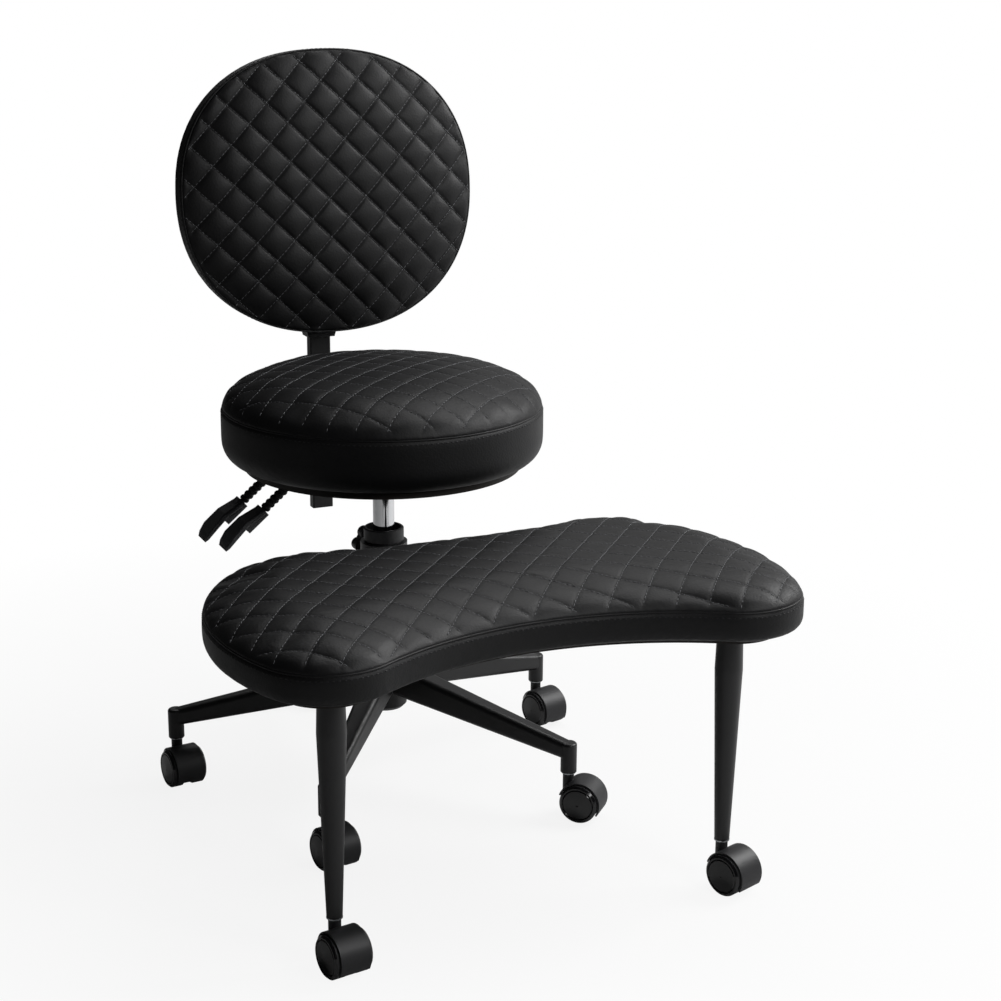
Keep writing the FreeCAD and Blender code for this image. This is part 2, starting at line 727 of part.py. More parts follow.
def quilted_pad(kind, outline, middle):
    """Cushion drawn flat: a skin through its outline drawn in ring by ring, with sewn channels."""
    side, top = pad_rings(kind)
    skin = Part.makeLoft([outline(inset, z) for inset, z in side + top], True, True)
    panel = Part.Face(outline(num("quilt_edge")))
    for turn in (45, -45):
        skin = skin.cut(channels(panel, top, middle, turn))
    # Two channels that meet at the rim can part a crumb from the pad, which is the largest piece
    return max(skin.Solids, key=lambda piece: piece.Volume)


def rest_screws():
    """Places of the leg screws and beam bolts under the leg rest."""
    spots = []
    for side in (-1, 1):
        for angle in (30, 150, 270):
            spots.append((f"{side} * leg_spread + leg_screw_circle / 2 * cos({angle})",
                          f"-leg_forward + leg_screw_circle / 2 * sin({angle})"))
    across, along = "beam_plate_width / 2 - bolt_head_dia", "beam_plate_length / 2 - bolt_head_dia"
    for x in (-1, 1):
        for y in (-1, 1):
            spots.append((f"{x} * ({across})",
                          f"-beam_reach + beam_plate_length / 2 + {y} * ({along})"))
    return spots


def drill(name, base, spots, start, depth):
    """Drill a clearance hole at each spot."""
    holes = [solid("Cylinder", f"{name}_hole{i}", (x, y, start),
                   Radius="bolt_dia / 2 + free_gap / 2", Height=depth)
             for i, (x, y) in enumerate(spots)]
    return cut(name, base, *holes)


def bolts(name, spots, under, grip):
    """Button-head bolts that come up from below at each spot."""
    made = []
    for i, (x, y) in enumerate(spots):
        head = solid("Cone", f"{name}_head{i}", (x, y, f"{under} - bolt_head_height"),
                     Radius1="bolt_head_dia / 3", Radius2="bolt_head_dia / 2",
                     Height="bolt_head_height")
        shank = solid("Cylinder", f"{name}_shank{i}", (x, y, under), Radius="bolt_dia / 2",
                      Height=grip)
        made.append(fuse(f"{name}{i}", head, shank))
    return group(name, *made)


def make_leg_rest():
    """Clamp sleeve with its beam, board, pad, two turned legs, bolts and hand knob."""
    spots = rest_screws()
    board_wire = shaped("rest_board_outline", bean_wire(num("rest_board_inset")))
    board = extruded("rest_board_blank", board_wire, "rest_board_bottom", "rest_board_thick")
    keep(drill("rest_board", board, spots, "rest_board_bottom - 1", "rest_board_thick + 2"),
         "footrest_board")
    middle = Vector(0, -num("rest_bay + rest_back") / 2, 0)
    pad = shaped("rest_pad", quilted_pad("rest", bean_wire, middle))
    keep(place(pad, z="rest_pad_bottom"), "footrest_cushion")

    sleeve = solid("Cylinder", "sleeve_ring", (0, 0, "sleeve_top - sleeve_height"),
                   Radius="sleeve_dia / 2", Height="sleeve_height")
    beam = box("beam_tube", ("0", "-beam_reach / 2"), "beam_top - beam_height",
               ("beam_width", "beam_reach", "beam_height"))
    beam_round = rounded("beam_round", beam, "beam_wall",
                         lambda edge: abs(edge.Length - num("beam_reach")) < 1e-3)
    hollow = box("beam_hollow", ("0", "-beam_reach / 2 - sleeve_dia / 2"),
                 "beam_top - beam_height + beam_wall",
                 ("beam_width - 2 * beam_wall", "beam_reach", "beam_height - 2 * beam_wall"))
    plate = box("beam_plate", ("0", "-beam_reach + beam_plate_length / 2"), "beam_top",
                ("beam_plate_width", "beam_plate_length", "beam_plate_thick"))
    boss = rod("clamp_boss", (0, 0, "clamp_level"), Y_AXIS, "clamp_boss_dia / 2", "clamp_boss_reach")
    bore = solid("Cylinder", "sleeve_bore", (0, 0, "sleeve_top - 2 * sleeve_height"),
                 Radius="column_dia / 2 + free_gap", Height="4 * sleeve_height")
    thread = rod("clamp_thread", (0, 0, "clamp_level"), Y_AXIS, "clamp_stud_dia / 2 + run_gap",
                 "2 * clamp_boss_reach")
    tube = cut("beam_open", beam_round, hollow)
    arm = cut("rest_arm_bored", fuse("rest_arm_solid", sleeve, tube, plate, boss), bore, thread)
    keep(drill("rest_arm", arm, spots[-4:], "beam_top - 1", "beam_plate_thick + 2"), "footrest_arm")

    leg = turned("leg", [
        (0, "caster_top + stem_grip + free_gap"),
        ("stem_dia / 2 + run_gap", "caster_top + stem_grip + free_gap"),
        ("stem_dia / 2 + run_gap", "caster_top"), ("leg_foot_dia / 2", "caster_top"),
        ("leg_belly_dia / 2", "rest_board_bottom - leg_belly_drop"),
        ("leg_top_dia / 2", "rest_board_bottom - leg_plate_thick"),
        ("leg_plate_dia / 2", "rest_board_bottom - leg_plate_thick"),
        ("leg_plate_dia / 2", "rest_board_bottom"), (0, "rest_board_bottom")])
    for side, name in ((-1, "right"), (1, "left")):
        near = spots[:3] if side < 0 else spots[3:6]
        stand = copy_at(f"leg_{name}_stand", leg, f"{side} * leg_spread", "-leg_forward")
        keep(drill(f"leg_{name}", stand, near, "rest_board_bottom - 2 * leg_plate_thick",
                   "4 * leg_plate_thick"), f"footrest_leg_{name}")
    screws = bolts("rest_bolts", spots, "rest_board_bottom - leg_plate_thick",
                   "leg_plate_thick + rest_board_thick / 2")
    keep(screws, "footrest_bolts")
    reach = "clamp_boss_reach - column_dia / 2 - 2 * free_gap"
    knob = lobed_knob("rest_knob", "knob_dia", "knob_lobe_dia", reach)
    keep(place(knob, 0, "clamp_boss_reach + free_gap", "clamp_level", Rotation(Z_AXIS, Y_AXIS)),
         "footrest_knob")


def make_seat():
    """Tilt mechanism with its pins, round board, crowned pad and bolts."""
    spots = [(f"{x} * seat_bolt_x", f"{y} * seat_bolt_y") for x in (-1, 1) for y in (-1, 1)]
    # The tray reaches less far in front of the column than behind it
    middle, length = "(mech_length / 2 - mech_front) / 2", "(mech_length / 2 + mech_front)"
    shell = box("mech_shell", ("0", middle), "mech_bottom", ("mech_width", length, "mech_height"))
    shell_round = rounded("mech_round", shell, "hub_round",
                          lambda edge: abs(edge.Length - num("mech_height")) < 1e-3)
    hollow = box("mech_hollow", ("0", middle), "mech_bottom - mech_wall",
                 ("mech_width - 2 * mech_wall", f"{length} - 2 * mech_wall", "mech_height"))
    cup = solid("Cylinder", "mech_cup", (0, 0, "mech_bottom"), Radius="tube_dia / 2 + hub_round",
                Height="mech_height")
    socket = solid("Cone", "mech_socket", (0, 0, "mech_bottom"), Radius1="tube_dia / 2",
                   Radius2="taper_end_dia / 2", Height="mech_height - mech_wall")
    plate = box("mech_plate", ("0", "0"), "mech_top",
                ("mech_plate_width", "mech_plate_length", "mech_plate_thick"))
    plate_round = rounded("mech_plate_round", plate, "bolt_head_dia",
                          lambda edge: abs(edge.Length - num("mech_plate_thick")) < 1e-3)
    ears = tilt_ears() + lever_ears()
    pins = [rod("tilt_pin_hole", ("-mech_width", "tilt_pivot_y", "tilt_level"), X_AXIS,
                "tilt_pin_dia / 2", "2 * mech_width"),
            rod("lever_pin_hole", ("-lever_pivot_x", "-mech_length", "lever_level"), Y_AXIS,
                "lever_pin_dia / 2", "2 * mech_length")]
    tray = cut("mech_tray", shell_round, hollow)
    frame = fuse("mech_frame", tray, cup, plate_round, *ears)
    bored = cut("mech_bored", frame, socket, pins[0], pins[1])
    keep(drill("mech", bored, spots, "mech_top - 1", "mech_plate_thick + 2"), "seat_mechanism")

    half = "tilt_eye_width / 2 + free_gap + tilt_ear"
    tilt_pin = rod("tilt_pin", (f"-({half})", "tilt_pivot_y", "tilt_level"), X_AXIS,
                   "tilt_pin_dia / 2", f"2 * ({half})")
    low, high = lever_span()
    lever_pin = rod("lever_pin", ("-lever_pivot_x", low, "lever_level"), Y_AXIS,
                    "lever_pin_dia / 2", f"({high}) - ({low})")
    keep(group("pins", tilt_pin, lever_pin), "mechanism_pins")

    board = solid("Cylinder", "seat_board_disc", (0, 0, "seat_board_bottom"),
                  Radius="seat_board_dia / 2", Height="seat_board_thick")
    keep(drill("seat_board", board, spots, "seat_board_bottom - 1", "seat_board_thick + 2"),
         "seat_board")
    keep(bolts("seat_bolt", spots, "mech_top", "mech_plate_thick + seat_board_thick / 2"),
         "seat_bolts")
    pad = shaped("seat_pad", quilted_pad("seat", round_wire, Vector()))
    keep(place(pad, z="seat_pad_bottom"), "seat_cushion")


def tilt_ears():
    """Two plates behind the mechanism that carry the tilt pin."""
    ears = []
    for side in (-1, 1):
        middle = f"{side} * (tilt_eye_width / 2 + free_gap + tilt_ear / 2)"
        bar = box(f"tilt_ear_bar{side}", (middle, "(mech_length / 2 - mech_wall + tilt_pivot_y) / 2"),
                  "tilt_level - tilt_eye_dia / 2",
                  ("tilt_ear", "tilt_pivot_y - mech_length / 2 + mech_wall", "tilt_eye_dia"))
        end = rod(f"tilt_ear_end{side}", (f"{middle} - tilt_ear / 2", "tilt_pivot_y", "tilt_level"),
                  X_AXIS, "tilt_eye_dia / 2", "tilt_ear")
        ears += [bar, end]
    return ears


def lever_span():
    """Ends of the lever pin, past the outer ears."""
    reach = "lever_eye_width / 2 + free_gap + lever_ear"
    return f"height_lever_y - ({reach})", f"tilt_lever_y + {reach}"


def lever_ears():
    """Plates on the side of the mechanism, one each side of both lever eyes."""
    ears = []
    for lever in ("height_lever_y", "tilt_lever_y"):
        for side in (-1, 1):
            middle = f"{lever} + {side} * (lever_eye_width / 2 + free_gap + lever_ear / 2)"
            name = f"lever_ear_{lever}_{side}".replace("-", "m")
            bar = box(name, ("-(lever_pivot_x + mech_width / 2 - mech_wall) / 2", middle),
                      "lever_level - lever_eye_dia / 2",
                      ("lever_pivot_x - mech_width / 2 + mech_wall", "lever_ear", "lever_eye_dia"))
            end = rod(name + "_end", ("-lever_pivot_x", f"{middle} - lever_ear / 2", "lever_level"),
                      Y_AXIS, "lever_eye_dia / 2", "lever_ear")
            ears += [bar, end]
    return ears


def lever_path(reach):
    """Rod line in the lever's own plane: out from the pivot, a bend, then down the slope."""
    slope = math.radians(num("lever_slope"))
    bend, run = num("lever_bend"), num("lever_run")
    out = num(reach)
    corner = Vector(-out, 0, 0)
    down = Vector(-math.cos(slope), 0, -math.sin(slope))
    cut_back = bend * math.tan(slope / 2)
    start = corner + X_AXIS * cut_back
    end = corner + down * cut_back
    middle = (start + end) * 0.5
    centre = start - Z_AXIS * bend
    mid = centre + (middle - centre).normalize() * bend
    tip = corner + down * (run + num("paddle_socket_length") / 2)
    path = Part.Wire([Part.LineSegment(Vector(-num("lever_eye_dia") / 4, 0, 0), start).toShape(),
                      Part.Arc(start, mid, end).toShape(), Part.LineSegment(end, tip).toShape()])
    return path, corner, down


def grip_sleeve():
    """Ribbed rubber sleeve along local +X, a ruled skin through four rings for each rib."""
    pitch, ribs = num("grip_pitch"), round(num("grip_ribs"))
    top, root = num("grip_dia") / 2, num("grip_root_dia") / 2
    rings = []
    for rib in range(ribs):
        for share, radius in ((0.0, root), (0.25, top), (0.6, top), (0.85, root)):
            rings.append((pitch * (rib + share), radius))
    wires = [Part.Wire([Part.Circle(Vector(x, 0, 0), X_AXIS, r).toShape()]) for x, r in rings]
    skin = Part.makeLoft(wires, True, True)
    bore = Part.makeCylinder(num("lever_rod_dia") / 2 + num("run_gap") / 2, pitch * (ribs + 1),
                             Vector(-pitch / 2, 0, 0), X_AXIS)
    return skin.cut(bore)


def paddle():
    """Bowed finger plate along local +X that widens to a round end, with a rod socket below."""
    length, root, wide = num("paddle_length"), num("paddle_root_width"), num("paddle_width")
    thick, thin, bow = num("paddle_thick"), num("paddle_tip_thick"), num("paddle_bow")
    sections = []
    for share, width, height in ((0.0, root, thick), (0.4, (root + wide) / 2, thick),
                                 (0.75, wide, (thick + thin) / 2), (0.92, wide * 0.9, thin),
                                 (1.0, wide * 0.66, thin * 0.7)):
        rise = thick * 0.9 - bow * (2 * share - 1) ** 2
        sections.append(slab(length * share, width, height, rise, height * 0.35))
    plate = Part.makeLoft(sections, True, True)
    deep = num("paddle_socket_depth")
    block = Part.makeLoft([slab(x, num("paddle_socket_width"), deep, 0, deep * 0.3)
                           for x in (0, num("paddle_socket_length"))], True, True)
    bore = Part.makeCylinder(num("lever_rod_dia") / 2 + num("run_gap") / 2,
                             num("paddle_socket_length") / 2 + num("free_gap"), Vector(), X_AXIS)
    return plate.fuse(block).removeSplitter().cut(bore)


def make_lever(name, y, reach):
    """Bent rod with an eye on the lever pin, ribbed sleeve and finger paddle."""
    path, corner, down = lever_path(reach)
    begin = path.OrderedVertexes[0].Point
    ring = Part.Circle(begin, X_AXIS, num("lever_rod_dia") / 2).toShape()
    bar = path.makePipeShell([Part.Wire([ring])], True, False)
    eye = Part.makeCylinder(num("lever_eye_dia") / 2, num("lever_eye_width"),
                            Vector(0, -num("lever_eye_width") / 2, 0), Y_AXIS)
    hole = Part.makeCylinder(num("lever_pin_dia") / 2 + num("run_gap"), 2 * num("lever_eye_width"),
                             Vector(0, -num("lever_eye_width"), 0), Y_AXIS)
    at = ("-lever_pivot_x", y, "lever_level")
    keep(place(shaped(f"{name}_rod", bar.fuse(eye).removeSplitter().cut(hole)), *at), f"{name}_rod")

    turn = Rotation(Y_AXIS, 180 - num("lever_slope"))
    back = Vector(num("grip_pitch") * num("grip_ribs") + num("free_gap"), 0, 0)
    joint = corner + down * num("lever_run")
    start = joint - down * back.x
    flip = Rotation(X_AXIS, 180)
    for part, shape, point in (("sleeve", grip_sleeve(), start), ("paddle", paddle(), joint)):
        obj = shaped(f"{name}_{part}", shape)
        spot = (f"-lever_pivot_x + ({point.x})", y, f"lever_level + ({point.z})")
        keep(place(obj, *spot, turn=turn * flip), f"{name}_{part}")


def make_back_arm():
    """Tilt arm: eye on the tilt pin, flat bar, and the holder that the post slides in."""
    eye = rod("back_eye", ("-tilt_eye_width / 2", "tilt_pivot_y", "tilt_level"), X_AXIS,
              "tilt_eye_dia / 2", "tilt_eye_width")
    bar = box("back_bar", ("0", "(tilt_pivot_y + post_y) / 2"), "tilt_level - back_bar_height / 2",
              ("back_bar_width", "post_y - tilt_pivot_y", "back_bar_height"))
    holder = box("back_holder", ("0", "post_y"), "tilt_level - holder_height / 2",
                 ("post_width + 2 * holder_wall", "post_depth + 2 * holder_wall", "holder_height"))
    holder_round = rounded("back_holder_round", holder, "holder_wall / 2",
                           lambda edge: abs(edge.Length - num("holder_height")) < 1e-3)
    slot = box("back_slot", ("0", "post_y"), "tilt_level - holder_height",
               ("post_width + 2 * run_gap", "post_depth + 2 * run_gap", "2 * holder_height"))
    hole = rod("back_eye_hole", ("-tilt_eye_width", "tilt_pivot_y", "tilt_level"), X_AXIS,
               "tilt_pin_dia / 2 + run_gap", "2 * tilt_eye_width")
    rear = "post_y + post_depth / 2 + holder_wall / 2"
    boss = rod("back_clamp_boss", (0, rear, "tilt_level"), Y_AXIS, "clamp_boss_dia / 2",
               "holder_wall * 2")
    thread = rod("back_clamp_thread", (0, "post_y", "tilt_level"), Y_AXIS,
                 "clamp_stud_dia / 2 + run_gap", "post_y")
    keep(cut("back_arm", fuse("back_arm_solid", eye, bar, holder_round, boss), slot, hole, thread),
         "back_arm")
    knob = lobed_knob("back_knob", "back_knob_dia", "knob_lobe_dia * back_knob_dia / knob_dia",
                      "2.5 * holder_wall - run_gap")
    keep(place(knob, 0, "post_y + post_depth / 2 + 2.5 * holder_wall + free_gap", "tilt_level",
               Rotation(Z_AXIS, Y_AXIS)), "back_knob")


def oval_wire(inset, z=0.0):
    """Backrest outline at a level, a superellipse across local X and Y, drawn in by inset."""
    wide, high = num("back_width") / 2 - inset, num("back_height") / 2 - inset
    power = 2 / num("back_power")
    points = []
    for step in range(24):
        angle = math.radians(15 * step)
        c, s = math.cos(angle), math.sin(angle)
        points.append(Vector(math.copysign(wide * abs(c) ** power, c),
                             math.copysign(high * abs(s) ** power, s), z))
    curve = Part.BSplineCurve()
    curve.interpolate(Points=points, PeriodicFlag=True)
    return Part.Wire([curve.toShape()])


def back_placed(obj):
    """Set a pad piece, drawn flat with +Z to the front, against the reclined back plate."""
    turn = Rotation(X_AXIS, 90 - num("back_recline"))
    return place(obj, 0, "back_face_y", "back_plate_level", turn)


def make_back():
    """Post with its reclined plate, cover, board, pad and bolts."""
    post = box("post_tube", ("0", "post_y"), "post_bottom",
               ("post_width", "post_depth", "post_drop + post_top"))
    post_round = rounded("post_round", post, "post_wall",
                         lambda edge: abs(edge.Length - num("post_drop + post_top")) < 1e-3)
    bore = box("post_bore", ("0", "post_y"), "post_bottom - post_wall",
               ("post_width - 2 * post_wall", "post_depth - 2 * post_wall", "post_drop + post_top"))
    spots = [(x, y) for x in (-1, 1) for y in (-1, 1)]
    plate = box("back_plate", ("0", "0"), "-back_plate_thick",
                ("back_plate_width", "back_plate_height", "back_plate_thick"))
    holes = [(f"{x} * back_bolt_x", f"{y} * back_bolt_z") for x, y in spots]
    plate_bored = back_placed(drill("back_plate_bored", plate, holes, "-2 * back_plate_thick",
                                    "3 * back_plate_thick"))
    keep(fuse("back_post", cut("post_open", post_round, bore), plate_bored), "back_post")

    outline = shaped("back_board_outline", oval_wire(num("back_board_inset")))
    board = extruded("back_board_blank", outline, "0", "back_board_thick")
    place(board, 0, "back_pad_rise", 0)
    keep(back_placed(drill("back_board", board, holes, "-1", "back_board_thick + 2")), "back_board")
    pad = shaped("back_pad", quilted_pad("back", oval_wire, Vector()))
    raised = copy_at("back_pad_raised", pad, 0, "back_pad_rise", "back_board_thick")
    keep(back_placed(group("back_pad_held", raised)), "back_cushion")
    screws = bolts("back_bolt", holes, "-back_plate_thick", "back_plate_thick + back_board_thick / 2")
    keep(back_placed(screws), "back_bolts")
    make_cover()


def make_cover():
    """Moulded boot that closes the foot of the pad round the post."""
    foot = "back_plate_level + back_pad_rise - back_height / 2 - cover_drop"
    base, high = num(foot), num("cover_height")
    rear = num("post_y") + num("post_depth") / 2 + num("holder_wall")
    sections = []
    for z, width in ((base, num("cover_foot_width")), (base + high, num("cover_top_width"))):
        front = rear - num("cover_depth")
        sections.append(Part.makePolygon([Vector(-width / 2, front, z), Vector(width / 2, front, z),
                                          Vector(width / 2, rear, z), Vector(-width / 2, rear, z),
                                          Vector(-width / 2, front, z)]))
    shell = shaped("cover_shell", Part.makeLoft(sections, True, True))
    slot = box("cover_slot", ("0", "post_y"), f"{foot} - 1",
               ("post_width + run_gap", "post_depth + run_gap", "cover_height + 2"))
    keep(cut("cover", shell, slot), "back_post_cover")


def check_and_write():
    """Stop on any failed object or shape, then write one file for each piece."""
    doc.recompute()
    for obj in doc.Objects:
        if {"Invalid", "Error"} & set(obj.State):
            raise RuntimeError(f"{obj.Label} failed: {obj.State}")
    os.makedirs("parts", exist_ok=True)
    for obj in pieces:
        if obj.Shape.isNull() or not obj.Shape.isValid() or not obj.Shape.Solids:
            raise RuntimeError(f"{obj.Label} has no valid solid")
    for obj in pieces:
        obj.Shape.exportStep(f"parts/{obj.Label}.step")
        print(f"{obj.Label}: {len(obj.Shape.Solids)} solid(s), {obj.Shape.Volume / 1000:.1f} cm3")


fill_sheet()
set_casters()
make_base()
make_gas_lift()
make_leg_rest()
make_seat()
make_lever("height_lever", "height_lever_y", "height_lever_reach")
make_lever("tilt_lever", "tilt_lever_y", "tilt_lever_reach")
make_back_arm()
make_back()
check_and_write()
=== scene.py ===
"""Looks of a cross-legged office chair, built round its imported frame.

Lengths are in metres and angles in degrees. The chair stands on z = 0 with its column on the z axis
and faces -Y, so the sitter's right is -X. The soft pads repeat the sizes of the solids that they
stand for.
"""

import json
import logging
import math
from dataclasses import dataclass, field
from enum import Enum
from functools import lru_cache

import bpy
import numpy as np
from mathutils import Matrix, Vector


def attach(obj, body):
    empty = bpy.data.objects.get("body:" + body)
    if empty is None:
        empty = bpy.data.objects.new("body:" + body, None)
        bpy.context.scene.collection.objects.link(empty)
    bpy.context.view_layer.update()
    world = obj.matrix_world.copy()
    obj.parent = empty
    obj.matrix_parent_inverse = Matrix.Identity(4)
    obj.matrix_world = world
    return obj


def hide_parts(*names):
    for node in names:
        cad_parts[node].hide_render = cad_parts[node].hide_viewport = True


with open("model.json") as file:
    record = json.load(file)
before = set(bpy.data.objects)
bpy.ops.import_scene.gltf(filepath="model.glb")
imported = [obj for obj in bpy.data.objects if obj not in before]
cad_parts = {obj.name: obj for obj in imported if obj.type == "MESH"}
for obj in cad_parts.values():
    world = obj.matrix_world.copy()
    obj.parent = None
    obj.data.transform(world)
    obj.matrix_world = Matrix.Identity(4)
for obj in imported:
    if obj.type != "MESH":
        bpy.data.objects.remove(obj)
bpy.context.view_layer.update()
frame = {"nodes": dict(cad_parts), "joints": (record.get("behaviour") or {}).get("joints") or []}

Tree = bpy.types.NodeTree
Socket = bpy.types.NodeSocket
Piece = bpy.types.Object

LOG = logging.getLogger("chair")
MM = 0.001
CASTERS = ("side_left", "rear", "side_right", "front_right", "front_left", "rest_right",
           "rest_left")
BEVEL_SAMPLES = 6


class Slot(Enum):
    """Material slot of the record; the leather finish bears the same name."""

    LEATHER = "black_pu_leather"


# Node helpers


def linear(code: str) -> tuple:
    """Linear RGBA of an sRGB hex colour, by the sRGB transfer curve.

    Args:
        code: Colour as "#rrggbb".

    Returns:
        Red, green, blue and an alpha of 1, as a colour socket takes them.
    """
    share = np.array([int(code[i:i + 2], 16) for i in (1, 3, 5)]) / 255
    curve = np.where(share <= 0.04045, share / 12.92, ((share + 0.055) / 1.055) ** 2.4)
    return (*curve.tolist(), 1.0)


def add_node(tree: Tree, kind: str, inputs: dict | None = None,
             **settings: object) -> bpy.types.Node:
    """Add one node with its settings, socket values and links.

    Args:
        tree: Node tree that takes the node.
        kind: Type name of the node, without the start that all of them share.
        inputs: Socket name or number to a value, or to an output socket that is linked to it.
        settings: Properties of the node itself.

    Returns:
        The new node.
    """
    node = tree.nodes.new(f"ShaderNode{kind}")
    for key, value in settings.items():
        setattr(node, key, value)
    for key, value in (inputs or {}).items():
        if isinstance(value, Socket):
            tree.links.new(value, node.inputs[key])
        else:
            node.inputs[key].default_value = value
    return node


# Finishes


@dataclass(frozen=True)
class Finish:
    """One material: its name, sRGB colour and the shader values that are the same all over."""

    name: str
    colour: str
    roughness: float
    metallic: float = 0.0
    specular: float = 0.5
    edge: float = 0.0
    spread: float = 0.0

    def pattern(self, tree: Tree, place: Socket) -> dict:
        """Shader inputs that vary over the surface.

        Args:
            tree: The material's node tree.
            place: Object coordinates, in metres.

        Returns:
            Socket name to output socket.
        """
        return {}

    def relief(self, tree: Tree, height: Socket, depth: float) -> Socket:
        """Normal of a relief, over edges that are eased by the finish's edge radius.

        Args:
            tree: The material's node tree.
            height: Height of the relief from 0 to 1.
            depth: What a height of 1 stands for, in metres.

        Returns:
            The normal output for the shader.
        """
        inputs = {"Height": height, "Strength": 1.0, "Distance": depth}
        if self.edge:
            inputs["Normal"] = add_node(tree, "Bevel", {"Radius": self.edge},
                                        samples=BEVEL_SAMPLES).outputs["Normal"]
        return add_node(tree, "Bump", inputs).outputs["Normal"]

    def gloss(self, tree: Tree, factor: Socket) -> Socket:
        """Roughness that varies by the finish's spread to either side of its own.

        Args:
            tree: The material's node tree.
            factor: What it varies with, from 0 to 1.

        Returns:
            The roughness for the shader.
        """
        return add_node(tree, "MapRange",
                        {"Value": factor, "To Min": self.roughness - self.spread,
                         "To Max": self.roughness + self.spread}).outputs["Result"]

    @lru_cache(maxsize=None)
    def material(self) -> bpy.types.Material:
        """Build the material once.

        Returns:
            A material with one shader, fed by the finish's pattern.
        """
        made = bpy.data.materials.new(self.name)
        made.use_nodes = True
        tree = made.node_tree
        tree.nodes.clear()
        place = add_node(tree, "TexCoord").outputs["Object"]
        inputs = {"Base Color": linear(self.colour), "Roughness": self.roughness,
                  "Metallic": self.metallic, "Specular IOR Level": self.specular}
        inputs.update(self.pattern(tree, place))
        shader = add_node(tree, "BsdfPrincipled", inputs)
        add_node(tree, "OutputMaterial", {"Surface": shader.outputs["BSDF"]})
        made.diffuse_color = linear(self.colour)
        return made


@dataclass(frozen=True)
class Leather(Finish):
    """Black PU leather: a knitted back with a pressed pebble grain and a soft, oily sheen.

    The pebbles of the real one are about 0.8 mm; they are drawn at 2.2 mm, so that they show.
    """

    pebble: float = 2.2 * MM
    hide: float = 45 * MM
    grain: float = 0.16 * MM
    spread: float = 0.07
    # Dark colour of the painted shade in the creases and along the seam
    painted_crease_shade: str = "#0b0b0c"
    crease_dullness: float = 0.12

    def pattern(self, tree: Tree, place: Socket) -> dict:
        """Pebbles raise the surface, hide-sized clouds vary its gloss, sewn creases are duller and
        carry painted shade.
        """
        pebbles = add_node(tree, "TexVoronoi", {"Vector": place, "Scale": 1 / self.pebble},
                           feature="SMOOTH_F1")
        clouds = add_node(tree, "TexNoise",
                          {"Vector": place, "Scale": 1 / self.hide, "Detail": 4.0})
        crease = add_node(tree, "Attribute", attribute_name="crease").outputs["Fac"]
        duller = add_node(tree, "Math",
                          {0: crease, 1: self.crease_dullness,
                           2: self.gloss(tree, clouds.outputs["Fac"])}, operation="MULTIPLY_ADD")
        # Painted shade: the colour goes over to the dark crease colour in the creases and along the
        # seam groove
        tone = add_node(tree, "Mix",
                        {"Factor": crease, "A": linear(self.colour),
                         "B": linear(self.painted_crease_shade)}, data_type="RGBA")
        return {"Base Color": tone.outputs["Result"], "Roughness": duller.outputs[0],
                "Normal": self.relief(tree, pebbles.outputs["Distance"], self.grain)}


@dataclass(frozen=True)
class Thread(Finish):
    """Bonded polyester sewing thread: round, twisted plies with a faint silky light."""

    twist: float = 1.2 * MM
    shade: str = "#2f3032"

    def pattern(self, tree: Tree, place: Socket) -> dict:
        """Plies of the twist shade the colour in short bands."""
        plies = add_node(tree, "TexNoise", {"Vector": place, "Scale": 1 / self.twist})
        tone = add_node(tree, "Mix",
                        {"Factor": plies.outputs["Fac"], "A": linear(self.shade),
                         "B": linear(self.colour)}, data_type="RGBA")
        return {"Base Color": tone.outputs["Result"]}


@dataclass(frozen=True)
class PowderCoat(Finish):
    """Powder-coated steel: a thick satin skin with a slight orange peel and rounded edges.

    The peel's waves are about 1 mm on the real one; they are drawn at 1.6 mm, so that they show.
    """

    peel: float = 1.6 * MM
    wave: float = 0.05 * MM
    handled: float = 60 * MM
    spread: float = 0.08

    def pattern(self, tree: Tree, place: Socket) -> dict:
        """Orange peel raises the surface, and handling varies the gloss in patches."""
        waves = add_node(tree, "TexNoise", {"Vector": place, "Scale": 1 / self.peel})
        patches = add_node(tree, "TexNoise",
                           {"Vector": place, "Scale": 1 / self.handled, "Detail": 5.0})
        return {"Roughness": self.gloss(tree, patches.outputs["Fac"]),
                "Normal": self.relief(tree, waves.outputs["Fac"], self.wave)}


@dataclass(frozen=True)
class Metal(Finish):
    """Bare or plated steel: turned or drawn, so that fine marks run round it and vary its gloss."""

    mark: tuple = (40 * MM, 40 * MM, 0.8 * MM)
    spread: float = 0.06

    def pattern(self, tree: Tree, place: Socket) -> dict:
        """Marks are noise that is stretched by the mark's length along each axis."""
        scale = [1 / size for size in self.mark]
        turned = add_node(tree, "Mapping", {"Vector": place, "Scale": scale}).outputs["Vector"]
        marks = add_node(tree, "TexNoise", {"Vector": turned, "Scale": 1.0, "Detail": 3.0})
        return {"Roughness": self.gloss(tree, marks.outputs["Fac"])}


@dataclass(frozen=True)
class Moulded(Finish):
    """Moulded nylon or rubber: the spark-eroded mould leaves a fine, even, dull grain.

    The grain of the real one is about 0.2 mm; it is drawn at 0.9 mm or more, so that it shows.
    """

    grit: float = 0.9 * MM
    depth: float = 0.05 * MM
    spread: float = 0.1

    def pattern(self, tree: Tree, place: Socket) -> dict:
        """Grit raises the surface and varies its gloss."""
        grit = add_node(tree, "TexNoise",
                        {"Vector": place, "Scale": 1 / self.grit, "Detail": 3.0}).outputs["Fac"]
        return {"Roughness": self.gloss(tree, grit),
                "Normal": self.relief(tree, grit, self.depth)}


